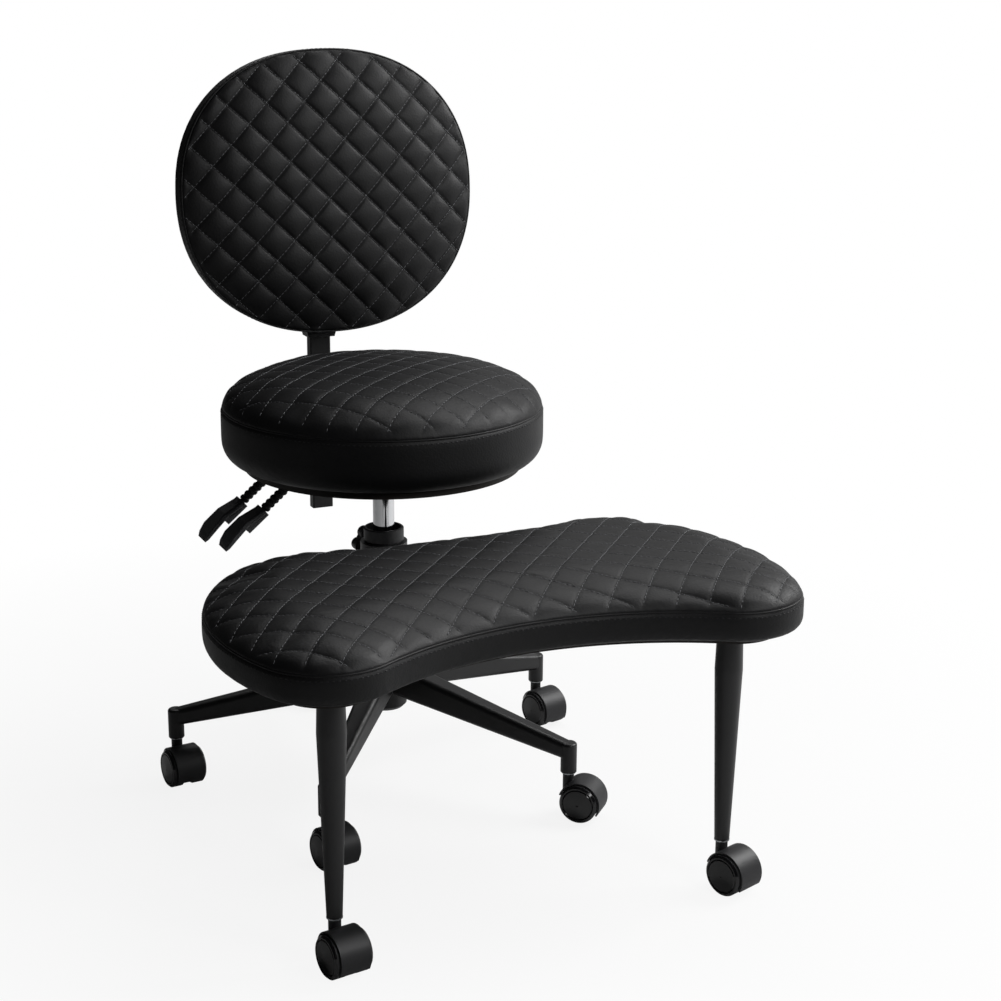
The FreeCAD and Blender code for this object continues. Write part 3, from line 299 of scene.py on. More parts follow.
@dataclass(frozen=True)
class WheelNylon(Finish):
    """Glossy moulded nylon of a caster wheel, whose tread is worn dull by the floor."""

    axle: tuple = (1.0, 0.0, 0.0)
    scuff: float = 3 * MM
    tread: str = "#1c1c1e"
    worn: tuple = (0.4, 0.75)
    rim: tuple = (0.15, 0.45)

    def pattern(self, tree: Tree, place: Socket) -> dict:
        """A face that looks along the axle is glossy; one that looks away from it is dull tread."""
        facing = add_node(tree, "TexCoord").outputs["Normal"]
        along = add_node(tree, "VectorMath", {0: facing, 1: self.axle},
                         operation="DOT_PRODUCT")
        side = add_node(tree, "Math", {0: along.outputs["Value"]},
                        operation="ABSOLUTE").outputs[0]
        scuffs = add_node(tree, "TexNoise",
                          {"Vector": place, "Scale": 1 / self.scuff, "Detail": 6.0})
        worn = add_node(tree, "MapRange",
                        {"Value": scuffs.outputs["Fac"], "To Min": self.worn[0],
                         "To Max": self.worn[1]})
        gloss = add_node(tree, "MapRange",
                         {"Value": side, "From Min": self.rim[0], "From Max": self.rim[1],
                          "To Min": worn.outputs["Result"], "To Max": self.roughness})
        tone = add_node(tree, "Mix",
                        {"Factor": side, "A": linear(self.tread), "B": linear(self.colour)},
                        data_type="RGBA")
        return {"Roughness": gloss.outputs["Result"], "Base Color": tone.outputs["Result"]}


@dataclass(frozen=True)
class Plywood(Finish):
    """Birch plywood under a dark stain: long grain lines along X, paler where the grain is open."""

    grain: float = 2.5 * MM
    length: float = 90 * MM
    open_grain: str = "#2b2622"
    depth: float = 0.1 * MM

    def pattern(self, tree: Tree, place: Socket) -> dict:
        """Grain is noise that is stretched along the board."""
        scale = (1 / self.length, 1 / self.grain, 1 / self.grain)
        stretched = add_node(tree, "Mapping", {"Vector": place, "Scale": scale})
        lines = add_node(tree, "TexNoise",
                         {"Vector": stretched.outputs["Vector"], "Scale": 1.0, "Detail": 6.0,
                          "Distortion": 0.6}).outputs["Fac"]
        tone = add_node(tree, "Mix",
                        {"Factor": lines, "A": linear(self.colour), "B": linear(self.open_grain)},
                        data_type="RGBA")
        return {"Base Color": tone.outputs["Result"],
                "Normal": self.relief(tree, lines, self.depth)}


LEATHER = Leather("black_pu_leather", "#0f0f10", 0.53, specular=0.24)
QUILT_THREAD = Thread("grey_polyester_thread", "#808184", 0.65, specular=0.25)
SEAM_THREAD = Thread("black_polyester_thread", "#1e1e20", 0.6, specular=0.25, shade="#0d0d0e")
COATED = PowderCoat("black_powder_coated_steel", "#151516", 0.4, specular=0.45, edge=0.8 * MM)
CHROME = Metal("chromed_steel_tube", "#d6d7d9", 0.09, metallic=1.0, spread=0.04,
               mark=(1.5 * MM, 1.5 * MM, 60 * MM))
GROUND = Metal("ground_steel", "#a9abad", 0.28, metallic=1.0)
ZINC = Metal("zinc_plated_steel", "#b4b7ba", 0.32, metallic=1.0, mark=(6 * MM, 6 * MM, 6 * MM))
NYLON = Moulded("black_moulded_nylon", "#1b1b1d", 0.5, specular=0.45, edge=0.6 * MM)
PADDLE = Moulded("dark_grey_moulded_nylon", "#343537", 0.42, specular=0.5, edge=0.6 * MM)
RUBBER = Moulded("ribbed_rubber", "#161617", 0.62, specular=0.35, edge=0.4 * MM, grit=1.4 * MM)
STAINED = Plywood("black_stained_plywood", "#121110", 0.6, specular=0.3)


# Surfaces


def grid_faces(rows: int, columns: int, close_rows: bool = False) -> np.ndarray:
    """Quads of a grid whose columns close on themselves.

    Args:
        rows: Number of rings.
        columns: Points in a ring, counter-clockwise seen from the last ring.
        close_rows: Join the last ring to the first, as on a closed tube.

    Returns:
        Vertex numbers, four to a face, that look outwards.
    """
    row, column = np.meshgrid(np.arange(rows if close_rows else rows - 1), np.arange(columns),
                              indexing="ij")
    above, beside = (row + 1) % rows, (column + 1) % columns
    corners = (row * columns + column, row * columns + beside,
               above * columns + beside, above * columns + column)
    return np.stack(corners, -1).reshape(-1, 4)


def mesh_object(name: str, points: np.ndarray, faces: list) -> Piece:
    """Put points and faces into a new object at the origin.

    Args:
        name: Name of the object and its mesh.
        points: Places, one row each.
        faces: Vertex numbers of each face.

    Returns:
        The object, smooth shaded and linked to the scene.
    """
    mesh = bpy.data.meshes.new(name)
    mesh.from_pydata(points.reshape(-1, 3).tolist(), [], faces)
    mesh.shade_smooth()
    made = bpy.data.objects.new(name, mesh)
    bpy.context.scene.collection.objects.link(made)
    return made


def places(mesh: bpy.types.Mesh, kind: str = "co") -> np.ndarray:
    """Places or normals of a mesh's vertices, one row each."""
    flat = np.empty(len(mesh.vertices) * 3)
    mesh.vertices.foreach_get(kind, flat)
    return flat.reshape(-1, 3)


def baked(made: Piece) -> bpy.types.Mesh:
    """A new mesh of an object with its modifiers applied."""
    graph = bpy.context.evaluated_depsgraph_get()
    return bpy.data.meshes.new_from_object(made.evaluated_get(graph))


def eased(value: np.ndarray, start: float, end: float) -> np.ndarray:
    """Smooth step from 0 at start to 1 at end: 3t squared less 2t cubed."""
    share = np.clip((value - start) / (end - start), 0, 1)
    return share * share * (3 - 2 * share)


def unit(vectors: np.ndarray) -> np.ndarray:
    """Each row divided by its own length."""
    return vectors / np.linalg.norm(vectors, axis=-1, keepdims=True)


def nearest(points: np.ndarray, others: np.ndarray, step: int = 512) -> np.ndarray:
    """Number of the other point that lies closest to each point, worked out in blocks."""
    found = [((points[i:i + step, None] - others[None]) ** 2).sum(-1).argmin(1)
             for i in range(0, len(points), step)]
    return np.concatenate(found)


def stitch_row(name: str, middle: np.ndarray, along: np.ndarray, out: np.ndarray,
               length: float, radius: float) -> Piece:
    """Stitches as short arched beads: four rings of five points each, closed at both ends.

    Ring k lies at share s of half the length along the stitch, has radius r times w and rises by
    r times a over the surface, with (s, w, a) from one end to the other as listed here.

    Args:
        name: Name of the piece.
        middle: Middle of each stitch.
        along: Direction of each stitch.
        out: Direction away from the surface at each stitch.
        length: Length of a stitch.
        radius: Radius of the thread.

    Returns:
        One object that holds every stitch.
    """
    bead = np.array([(-1.0, 0.35, -0.8), (-0.6, 1.0, 0.1), (0.6, 1.0, 0.1), (1.0, 0.35, -0.8)])
    sides = 5
    turn = np.arange(sides) * 2 * math.pi / sides
    along, across = unit(along), unit(np.cross(out, along))
    up = np.cross(along, across)
    run = bead[:, :1] * length / 2 * np.ones(sides)
    wide = bead[:, 1:2] * radius * np.cos(turn)
    tall = bead[:, 1:2] * radius * np.sin(turn) + bead[:, 2:] * radius
    local = np.stack([run, wide, tall], -1).reshape(-1, 3)
    axes = np.stack([along, across, up], 1)
    points = middle[:, None] + np.einsum("vk,skd->svd", local, axes)
    quads = grid_faces(len(bead), sides)
    first = np.arange(len(middle)) * len(local)
    faces = (quads[None] + first[:, None, None]).reshape(-1, 4).tolist()
    ends = np.stack([np.arange(sides)[::-1], np.arange(sides) + len(local) - sides])
    faces += (ends[None] + first[:, None, None]).reshape(-1, sides).tolist()
    return mesh_object(name, points, faces)


# Outlines of the pads


@dataclass(frozen=True)
class Outline:
    """Closed line round a pad, seen along its thickness."""

    points: int = 400

    def ring(self, inset: float) -> np.ndarray:
        """The outline drawn in by an inset, counter-clockwise, as rows of x and y."""
        raise NotImplementedError

    def inset_of(self, spots: np.ndarray, step: int = 4096) -> np.ndarray:
        """Distance of each spot in from the outline, below zero outside it.

        The distance is to the closest point of the ring; a spot is inside where a line from it to
        the right crosses the ring an odd number of times.
        """
        ring = self.ring(0.0)
        x, y, x1, y1 = ring[:, 0], ring[:, 1], *np.roll(ring, -1, 0).T
        slope = (x1 - x) / np.where(y1 == y, 1e-12, y1 - y)
        found = []
        for i in range(0, len(spots), step):
            px, py = spots[i:i + step, :1], spots[i:i + step, 1:2]
            gap = np.sqrt(((px - x) ** 2 + (py - y) ** 2).min(1))
            crossed = ((y > py) != (y1 > py)) & (px < x + (py - y) * slope)
            found.append(np.where(crossed.sum(1) % 2 == 1, gap, -gap))
        return np.concatenate(found)


@dataclass(frozen=True, kw_only=True)
class OvalOutline(Outline):
    """Superellipse: |x / a| to a power plus |y / b| to that power is 1."""

    width: float
    height: float
    power: float = 2.0

    def ring(self, inset: float) -> np.ndarray:
        """Half axes less the inset, times cosine and sine to the power 2 / power."""
        turn = np.linspace(0, 2 * math.pi, self.points, endpoint=False)
        wave = np.stack([np.cos(turn), np.sin(turn)], -1)
        half = np.array([self.width / 2 - inset, self.height / 2 - inset])
        return half * np.sign(wave) * np.abs(wave) ** (2 / self.power)


@dataclass(frozen=True)
class BeanOutline(Outline):
    """Kidney of tangent arcs, the same on both sides of x = 0.

    From the middle of the front it runs along a concave bay, round a lobe, up a long side, round a
    shoulder, and along a shallow concave back edge. Each arc is given as the x and y of its centre
    and its radius.
    """

    bay: tuple = (0.0, -0.8817, 0.3927)
    lobe: tuple = (0.248, -0.474, 0.0845)
    side: tuple = (0.0472, -0.3905, 0.302)
    shoulder: tuple = (0.187, -0.292, 0.131)
    back: tuple = (0.0, 2.2023, 2.3703)
    fewest: int = 6

    def ring(self, inset: float) -> np.ndarray:
        """Arc by arc, with radii less the inset, or plus it where the arc is concave."""
        arcs = np.array([self.bay, self.lobe, self.side, self.shoulder, self.back])
        middle, radius = arcs[:, :2], arcs[:, 2]
        hollow = np.array([True, False, False, False, True])
        step = unit(np.diff(middle, axis=0))
        # Direction, seen from its own centre, in which each arc meets the next one
        leave = np.stack([step[0], -step[1], step[2], step[3]])
        reach = np.stack([-step[0], -step[1], step[2], -step[3]])
        start = np.concatenate([[[0.0, 1.0]], reach])
        end = np.concatenate([leave, [[0.0, -1.0]]])
        a0 = np.arctan2(start[:, 1], start[:, 0])
        turn = np.arctan2(end[:, 1], end[:, 0]) - a0
        turn = np.where(hollow, -((-turn) % (2 * math.pi)), turn % (2 * math.pi))
        share = np.abs(turn) * radius
        count = np.maximum(self.fewest,
                           np.round(self.points / 2 * share / share.sum())).astype(int)
        angle = np.concatenate([a + t * np.arange(n) / n for a, t, n in zip(a0, turn, count)])
        which = np.repeat(np.arange(len(arcs)), count)
        size = (radius + np.where(hollow, inset, -inset))[which, None]
        half = middle[which] + size * np.stack([np.cos(angle), np.sin(angle)], -1)
        last = middle[-1] + np.array([0.0, -radius[-1] - inset])
        return np.concatenate([half, last[None], (half * (-1, 1))[:0:-1]])


# Pads


@dataclass(frozen=True)
class Stitch:
    """One kind of stitch; its lift is how far its middle stands off the leather."""

    length: float
    gap: float
    radius: float
    lift: float

    @property
    def run(self) -> float:
        """From the middle of one stitch to the middle of the next."""
        return self.length + self.gap


@dataclass(frozen=True)
class Swelling:
    """How a pad is blown up as cloth.

    It is held up to a height at its underside, and along its seam up to a height to either side of
    it and an inset from the outline.
    """

    pressure: float = 4.0
    bending: float = 8.0
    quality: int = 4
    frames: int = 20
    held_under: float = 2 * MM
    held_seam: float = 3 * MM
    held_rim: float = 6 * MM
    easing: float = 0.5


QUILTING = Stitch(length=4.6 * MM, gap=1.0 * MM, radius=0.36 * MM, lift=0.25 * MM)
SEAMING = Stitch(length=4.4 * MM, gap=2.0 * MM, radius=0.65 * MM, lift=-0.3 * MM)
SWELLING = Swelling()


@dataclass
class Pad:
    """Quilted cushion: a band round a crowned top panel, sewn together along a welted seam.

    The pad is drawn flat, with its underside at z = 0, and then set in place by its frame. Its
    stitches lie on two families of lines at right angles, at multiples of the pitch.
    """

    name: str
    node: str
    body: str
    outline: Outline
    height: float
    seam: float
    reach: float
    foot: float
    fullness: float
    pitch: float
    turn: float
    start: tuple
    place: Matrix
    fill: float
    puff: float
    middle: tuple = (0.0, 0.0)
    slack: float = 4 * MM
    cap: float = 8 * MM
    flatness: float = 0.4
    groove: float = 1.8 * MM
    draw: float = 3.0 * MM
    welt: float = 1.4 * MM
    settling: int = 14
    seed: int = 7
    # How finely the pad is drawn
    foot_rings: int = 7
    crown_rings: int = 18
    squares: int = 8
    welt_sides: int = 10
    # Quilting: how the diamonds vary, the share of a pillow that is level with the plain panel, how
    # narrow the painted shade and dulling of a crease are, and over which inset and height the
    # quilting fades in from the seam
    uneven: tuple = (0.86, 1.14)
    diamonds: int = 64
    level: float = 0.7
    narrow: float = 1.6
    fade_inset: float = 10 * MM
    fade_height: float = 5 * MM
    # Stitches: lines and stitches to either side of the middle, the rim that has none, and how far
    # the row on the band lies below the seam
    lines: int = 12
    stitches: int = 80
    bare_rim: float = 8 * MM
    row_drop: float = 5.0 * MM
    near: float = 2 * MM
    cushion: Piece = field(init=False)
    trim: list = field(init=False)
    surface: np.ndarray = field(init=False)
    inset: np.ndarray = field(init=False)

    @property
    def count(self) -> int:
        """Points in one ring of the outline."""
        return len(self.outline.ring(0.0))

    def rings(self) -> np.ndarray:
        """Draw-in and height of each ring up the slack pad: rounded foot, band, seam and crown.

        The foot is a quarter circle. Over the seam the height rises by (1 - (1 - t) squared) to the
        power of the fullness, where t is the share of the crown's reach in from the seam.
        """
        a = np.linspace(0, math.pi / 2, self.foot_rings)
        foot = np.stack([self.foot * (1 - np.sin(a)) + self.slack * np.sin(a),
                         self.foot * (1 - np.cos(a))], -1)
        band = np.array([(self.slack, self.seam - 4 * self.groove),
                         (self.draw, self.seam - self.groove),
                         (self.draw + self.groove, self.seam)])
        t = np.linspace(0, 1, self.crown_rings) ** 2
        low = self.seam + self.groove
        rise = (1 - (1 - t) ** 2) ** self.fullness
        top = np.stack([self.draw + self.reach * t,
                        low + (self.height - self.slack - low) * rise], -1)
        return np.concatenate([foot, band, top])

    def turned(self, spots: np.ndarray) -> np.ndarray:
        """Places in the quilting's own frame, where its lines lie at multiples of the pitch."""
        c, s = math.cos(math.radians(self.turn)), math.sin(math.radians(self.turn))
        x, y = spots[:, 0] - self.middle[0], spots[:, 1] - self.middle[1]
        flat = np.stack([c * x + s * y - self.start[1], c * y - s * x - self.start[0]], -1)
        return np.concatenate([flat, spots[:, 2:]], -1)

    def unturned(self, spots: np.ndarray) -> np.ndarray:
        """Places in the pad's flat frame of spots in the quilting's frame."""
        c, s = math.cos(math.radians(self.turn)), math.sin(math.radians(self.turn))
        u, v = spots[:, 0] + self.start[1], spots[:, 1] + self.start[0]
        flat = np.stack([c * u - s * v + self.middle[0], s * u + c * v + self.middle[1]], -1)
        return np.concatenate([flat, spots[:, 2:]], -1)

    def swung(self, directions: np.ndarray) -> np.ndarray:
        """Directions in the chair's frame of directions in the pad's flat frame."""
        return directions @ np.array(self.place)[:3, :3].T

    def set_down(self, spots: np.ndarray) -> np.ndarray:
        """Places in the chair's frame of spots in the pad's flat frame."""
        return self.swung(spots) + np.array(self.place)[:3, 3]

    def shell(self) -> Piece:
        """Slack closed shell, remeshed to even squares that line up with the quilting.

        Returns:
            An object in the quilting's frame, with as many squares to the pitch as the pad says.
        """
        rings = self.rings()
        loops = np.stack([np.column_stack([self.outline.ring(inset), np.full(self.count, z)])
                          for inset, z in rings])
        faces = grid_faces(len(rings), self.count).tolist()
        faces += [list(range(self.count))[::-1],
                  list(range((len(rings) - 1) * self.count, len(rings) * self.count))]
        raw = mesh_object(f"{self.name}_shell", self.turned(loops.reshape(-1, 3)), faces)
        remesh = raw.modifiers.new("squares", "REMESH")
        remesh.mode, remesh.voxel_size = "VOXEL", self.pitch / self.squares
        raw.data = baked(raw)
        raw.modifiers.clear()
        return raw

    def swell(self, raw: Piece) -> None:
        """Blow the shell up as cloth that is held at its underside and along its seam.

        Args:
            raw: The remeshed shell; its places are changed, each by no more than the cap, and its
                top panel is then smoothed.
        """
        before = places(raw.data)
        inset = self.outline.inset_of(self.unturned(before))
        at_seam = np.abs(before[:, 2] - self.seam) < SWELLING.held_seam
        held = (before[:, 2] < SWELLING.held_under) | (at_seam & (inset < SWELLING.held_rim))
        group = raw.vertex_groups.new(name="sewn")
        group.add(np.flatnonzero(held).tolist(), 1.0, "REPLACE")
        cloth = raw.modifiers.new("swell", "CLOTH")
        cloth.settings.vertex_group_mass = group.name
        cloth.settings.use_pressure = True
        cloth.settings.uniform_pressure_force = SWELLING.pressure
        cloth.settings.quality = SWELLING.quality
        cloth.settings.bending_stiffness = SWELLING.bending
        cloth.settings.effector_weights.gravity = 0.0
        cloth.collision_settings.use_collision = False
        cloth.point_cache.frame_start, cloth.point_cache.frame_end = 1, SWELLING.frames
        for step in range(1, SWELLING.frames + 1):
            bpy.context.scene.frame_set(step)
        after = places(baked(raw))
        raw.modifiers.clear()
        bpy.context.scene.frame_set(1)
        moved = after - before
        far = np.linalg.norm(moved, axis=1, keepdims=True)
        moved *= np.minimum(1, self.cap / np.maximum(far, 1e-9))
        raw.data.vertices.foreach_set("co", (before + moved).ravel())
        raw.data.update()
        # Upholsterers pull the top panel taut over its foam, which takes the loose folds out
        panel = before[:, 2] > self.seam + SWELLING.held_seam
        taut = raw.vertex_groups.new(name="taut")
        taut.add(np.flatnonzero(panel).tolist(), 1.0, "REPLACE")
        settle = raw.modifiers.new("settle", "SMOOTH")
        settle.vertex_group, settle.iterations = taut.name, self.settling
        settle.factor = SWELLING.easing
        raw.data = baked(raw)
        raw.modifiers.clear()

    def quilt(self, raw: Piece) -> None:
        """Draw the top panel down along the lines of stitches, so that its diamonds puff up.

        The pad is first set to its height. Its height over the plain panel then grows with
        (|sin(pi u / pitch)| |sin(pi v / pitch)|) to the power of the flatness, a little more or
        less from one diamond to the next, and fades out towards the seam. The seam itself is
        pressed in by the groove's depth times e to the minus square of the height off it over that
        depth.

        Args:
            raw: The swollen shell, in the quilting's frame; it ends in the chair's frame.
        """
        fine = raw.modifiers.new("fine", "SUBSURF")
        fine.levels = fine.render_levels = 1
        raw.data = baked(raw)
        raw.modifiers.clear()
        here = places(raw.data)
        top = here[:, 2] > self.seam + self.groove
        tall = (self.height - self.seam) / (here[:, 2].max() - self.seam)
        here[top, 2] = self.seam + (here[top, 2] - self.seam) * tall
        raw.data.vertices.foreach_set("co", here.ravel())
        raw.data.update()
        out = places(raw.data, "normal")
        inset = np.full(len(here), -1.0)
        inset[top] = self.outline.inset_of(self.unturned(here[top]))
        panel = (eased(inset, self.draw, self.draw + self.fade_inset)
                 * eased(here[:, 2], self.seam, self.seam + self.fade_height))
        u, v = here[:, 0] / self.pitch, here[:, 1] / self.pitch
        pillow = (np.abs(np.sin(math.pi * u)) * np.abs(np.sin(math.pi * v))) ** self.flatness
        table = np.random.default_rng(self.seed).uniform(*self.uneven, (self.diamonds,) * 2)
        pillow *= table[np.floor(u).astype(int) % self.diamonds,
                        np.floor(v).astype(int) % self.diamonds]
        sewn = np.exp(-((here[:, 2] - self.seam) / self.groove) ** 2)
        here += out * (panel * self.puff * (pillow - self.level) - self.groove * sewn)[:, None]
        # Crease share along the stitch lines and the seam: the leather is painted darker there as
        # shade, and made duller
        crease = np.maximum(panel * np.clip(1 - self.narrow * pillow, 0, 1), sewn)
        values = raw.data.attributes.new("crease", "FLOAT", "POINT").data
        values.foreach_set("value", crease.astype(np.float32))
        self.surface, self.inset = self.unturned(here), inset
        raw.data.vertices.foreach_set("co", self.set_down(self.surface).ravel())
        raw.data.update()
        raw.data.shade_smooth()

    def thread(self) -> Piece:
        """Stitches along both families of lines, each laid on the closest places of the panel.

        Returns:
            The quilting thread as one object.
        """
        across = np.arange(-self.lines, self.lines + 1) * self.pitch
        along = (np.arange(-self.stitches, self.stitches) + 0.5) * QUILTING.run
        line, spot = (a.ravel() for a in np.meshgrid(across, along, indexing="ij"))
        level = np.zeros_like(line)
        middle = np.concatenate([np.stack([spot, line, level], -1),
                                 np.stack([line, spot, level], -1)])
        half = QUILTING.length / 2
        ahead = np.repeat([[half, 0.0, 0.0], [0.0, half, 0.0]], len(line), axis=0)
        inside = self.outline.inset_of(self.unturned(middle)) > self.bare_rim
        ends = [self.unturned((middle + side * ahead)[inside]) for side in (-1, 1)]
        panel = self.surface[self.inset > self.near]
        for end in ends:
            end[:, 2] = panel[nearest(end[:, :2], panel[:, :2]), 2]
        direction = ends[1] - ends[0]
        up = np.tile([0.0, 0.0, 1.0], (len(direction), 1))
        spots = (ends[0] + ends[1]) / 2 + QUILTING.lift * up
        return stitch_row(f"{self.name}_thread", self.set_down(spots), self.swung(direction),
                          self.swung(up), QUILTING.length, QUILTING.radius)

    def piping(self) -> Piece:
        """Welt cord half sunk in the seam: a circle carried round the outline."""
        line = self.outline.ring(self.draw + self.groove)
        ring = np.column_stack([line, np.full(self.count, self.seam)])
        ahead = unit(np.roll(ring, -1, 0) - np.roll(ring, 1, 0))
        out = np.stack([ahead[:, 1], -ahead[:, 0], ahead[:, 2]], -1)
        turn = np.linspace(0, 2 * math.pi, self.welt_sides, endpoint=False)
        tube = (ring[:, None] + self.welt * np.cos(turn)[None, :, None] * out[:, None]
                + self.welt * np.sin(turn)[None, :, None] * np.array([0.0, 0.0, 1.0]))
        faces = grid_faces(self.count, len(turn), close_rows=True)[:, ::-1].tolist()
        return mesh_object(f"{self.name}_welt", self.set_down(tube.reshape(-1, 3)), faces)

    def seam_stitches(self) -> Piece:
        """Row of black stitches on the band, a little below the welt.

        Returns:
            The row as one object, each stitch sunk a little into the closest place of the band.
        """
        level = self.seam - self.row_drop
        band = self.surface[np.abs(self.surface[:, 2] - level) < self.near]
        ring = self.outline.ring(0.0)
        length = np.linalg.norm(np.diff(ring, axis=0, append=ring[:1]), axis=1)
        run = np.concatenate([[0], np.cumsum(length)])
        count = int(run[-1] / SEAMING.run)
        at = np.arange(count) * run[-1] / count
        closed = np.concatenate([ring, ring[:1]])
        spot = np.stack([np.interp(at, run, closed[:, i]) for i in (0, 1)], -1)
        ahead = unit(np.roll(spot, -1, 0) - np.roll(spot, 1, 0))
        flat = band[nearest(spot, band[:, :2]), :2]
        out = np.column_stack([ahead[:, 1], -ahead[:, 0], np.zeros(count)])
        gap = ((flat - spot) * out[:, :2]).sum(1, keepdims=True)
        middle = np.column_stack([spot + out[:, :2] * (gap + SEAMING.lift), np.full(count, level)])
        along = np.column_stack([ahead, np.zeros(count)])
        return stitch_row(f"{self.name}_seam_stitches", self.set_down(middle), self.swung(along),
                          self.swung(out), SEAMING.length, SEAMING.radius)

    def build(self) -> None:
        """Make the pad, its welt and its stitches."""
        self.cushion = self.shell()
        self.cushion.name = self.cushion.data.name = self.name
        self.swell(self.cushion)
        self.quilt(self.cushion)
        self.trim = [self.piping(), self.seam_stitches(), self.thread()]

    def dress(self) -> None:
        """Hide the solid that the pad stands for, give the pieces their finish and parent them to
        their body's empty.
        """
        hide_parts(self.node)
        finishes = (LEATHER, LEATHER, SEAM_THREAD, QUILT_THREAD)
        for piece, finish in zip([self.cushion, *self.trim], finishes):
            piece.data.materials.clear()
            piece.data.materials.append(finish.material())
            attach(piece, self.body)
            LOG.info("%s: %d faces", piece.name, len(piece.data.polygons))


def paint(finish: Finish, *nodes: str) -> None:
    """Give one finish to nodes of the frame.

    Args:
        finish: The finish.
        nodes: Names of nodes; their meshes stay as they are.
    """
    for node in nodes:
        slots = frame["nodes"][node].data.materials
        slots.clear()
        slots.append(finish.material())
        LOG.info("%s: %s", node, finish.name)


# Sub-assemblies


@dataclass
class Seat:
    """Round seat on its board, plate and bolts."""

    diameter: float = 421 * MM
    under: float = 443 * MM
    height: float = 122 * MM
    seam: float = 70 * MM
    pad: Pad = field(init=False)

    def build(self) -> None:
        """Make the pad from the seat's sizes."""
        outline = OvalOutline(width=self.diameter, height=self.diameter)
        self.pad = Pad("seat_pad", "seat_cushion", "seat", outline, self.height, self.seam,
                       reach=202 * MM, foot=28 * MM, fullness=0.37, pitch=34 * MM, turn=39.0,
                       start=(-4 * MM, 0.0), fill=0.85, puff=2.1 * MM, flatness=0.22,
                       slack=2 * MM, cap=4 * MM, settling=26,
                       place=Matrix.Translation((0, 0, self.under)))
        self.pad.build()

    def dress(self) -> None:
        """Finish the pad and what carries it."""
        self.pad.dress()
        paint(STAINED, "seat_board")
        paint(COATED, "seat_mechanism")
        paint(ZINC, "seat_bolts", "mechanism_pins")


@dataclass
class BackRest:
    """Rounded back pad on its board, with the post that slides in the arm."""

    width: float = 418 * MM
    tall: float = 385 * MM
    power: float = 2.23
    face: float = 236 * MM
    plate: float = 682 * MM
    rise: float = 80 * MM
    board: float = 9 * MM
    recline: float = 2.7
    height: float = 64 * MM
    seam: float = 40 * MM
    pad: Pad = field(init=False)

    def build(self) -> None:
        """Make the pad and stand it up: x stays, y runs up the back, z points forwards."""
        t = math.radians(self.recline)
        up, out = (0, math.sin(t), math.cos(t)), (0, -math.cos(t), math.sin(t))
        origin = [f + self.rise * u + self.board * o
                  for f, u, o in zip((0, self.face, self.plate), up, out)]
        stand = Matrix(((1, up[0], out[0], origin[0]), (0, up[1], out[1], origin[1]),
                        (0, up[2], out[2], origin[2]), (0, 0, 0, 1)))
        outline = OvalOutline(width=self.width, height=self.tall, power=self.power)
        self.pad = Pad("back_pad", "back_cushion", "back", outline, self.height, self.seam,
                       reach=120 * MM, foot=12 * MM, fullness=1.0, pitch=36.5 * MM, turn=46.5,
                       start=(0.9 * MM, -10.1 * MM), fill=0.75, puff=4.6 * MM, seed=11,
                       place=stand)
        self.pad.build()

    def dress(self) -> None:
        """Finish the pad, its post and the arm that carries it."""
        self.pad.dress()
        paint(STAINED, "back_board")
        paint(COATED, "back_arm", "back_post")
        paint(NYLON, "back_knob", "back_post_cover")
        paint(ZINC, "back_bolts")


@dataclass
class FootRest:
    """Kidney-shaped leg rest on an arm that swings round the column and two legs on casters."""

    under: float = 333 * MM
    height: float = 70 * MM
    seam: float = 36 * MM
    middle: tuple = (0.0, -328.5 * MM)
    pad: Pad = field(init=False)

    def build(self) -> None:
        """Make the pad from the leg rest's sizes."""
        self.pad = Pad("footrest_pad", "footrest_cushion", "footrest", BeanOutline(points=520),
                       self.height, self.seam, reach=76 * MM, foot=12 * MM, fullness=0.54,
                       pitch=35.05 * MM, turn=48.0, start=(9.5 * MM, -17.4 * MM),
                       middle=self.middle, fill=0.75, puff=2.9 * MM, flatness=0.3, slack=2 * MM,
                       seed=5, place=Matrix.Translation((0, 0, self.under)))
        self.pad.build()

    def dress(self) -> None:
        """Finish the pad and what carries it."""
        self.pad.dress()
        paint(STAINED, "footrest_board")
        paint(COATED, "footrest_arm", "footrest_leg_right", "footrest_leg_left")
        paint(NYLON, "footrest_knob")
        paint(ZINC, "footrest_bolts")


@dataclass
class Levers:
    """Height and tilt levers on the sitter's right."""

    names: tuple = ("height_lever", "tilt_lever")

    def dress(self) -> None:
        """Coated rods, ribbed sleeves and bare moulded paddles."""
        for name in self.names:
            paint(COATED, f"{name}_rod")
            paint(RUBBER, f"{name}_sleeve")
            paint(PADDLE, f"{name}_paddle")


@dataclass
class BaseAndColumn:
    """Five-armed base, gas column and casters."""

    casters: tuple = CASTERS

    def dress(self) -> None:
        """Finish the base, the column and each caster, whose wheels know their axle's direction."""
        paint(COATED, "star_base", "column_outer_tube")
        paint(NYLON, "column_collar", "column_guide_bush")
        paint(CHROME, "pressure_tube")
        paint(GROUND, "piston_rod", "thrust_bearing")
        axles = {joint["name"]: joint["axis"] for joint in frame["joints"]}
        for name in self.casters:
            paint(NYLON, f"{name}_caster_hood")
            paint(ZINC, f"{name}_caster_stem", f"{name}_caster_axle")
            paint(WheelNylon(f"gloss_nylon_{name}", "#0c0c0d", 0.13, specular=0.5,
                             axle=tuple(axles[f"{name}_roll"])), f"{name}_caster_wheels")


# Stage


@dataclass(frozen=True)
class SoftBox:
    """One lamp, hung to the right of the column, in front of it and above the floor in the view."""

    name: str
    right: float
    front: float
    up: float
    aim: tuple
    size: tuple
    watts: float


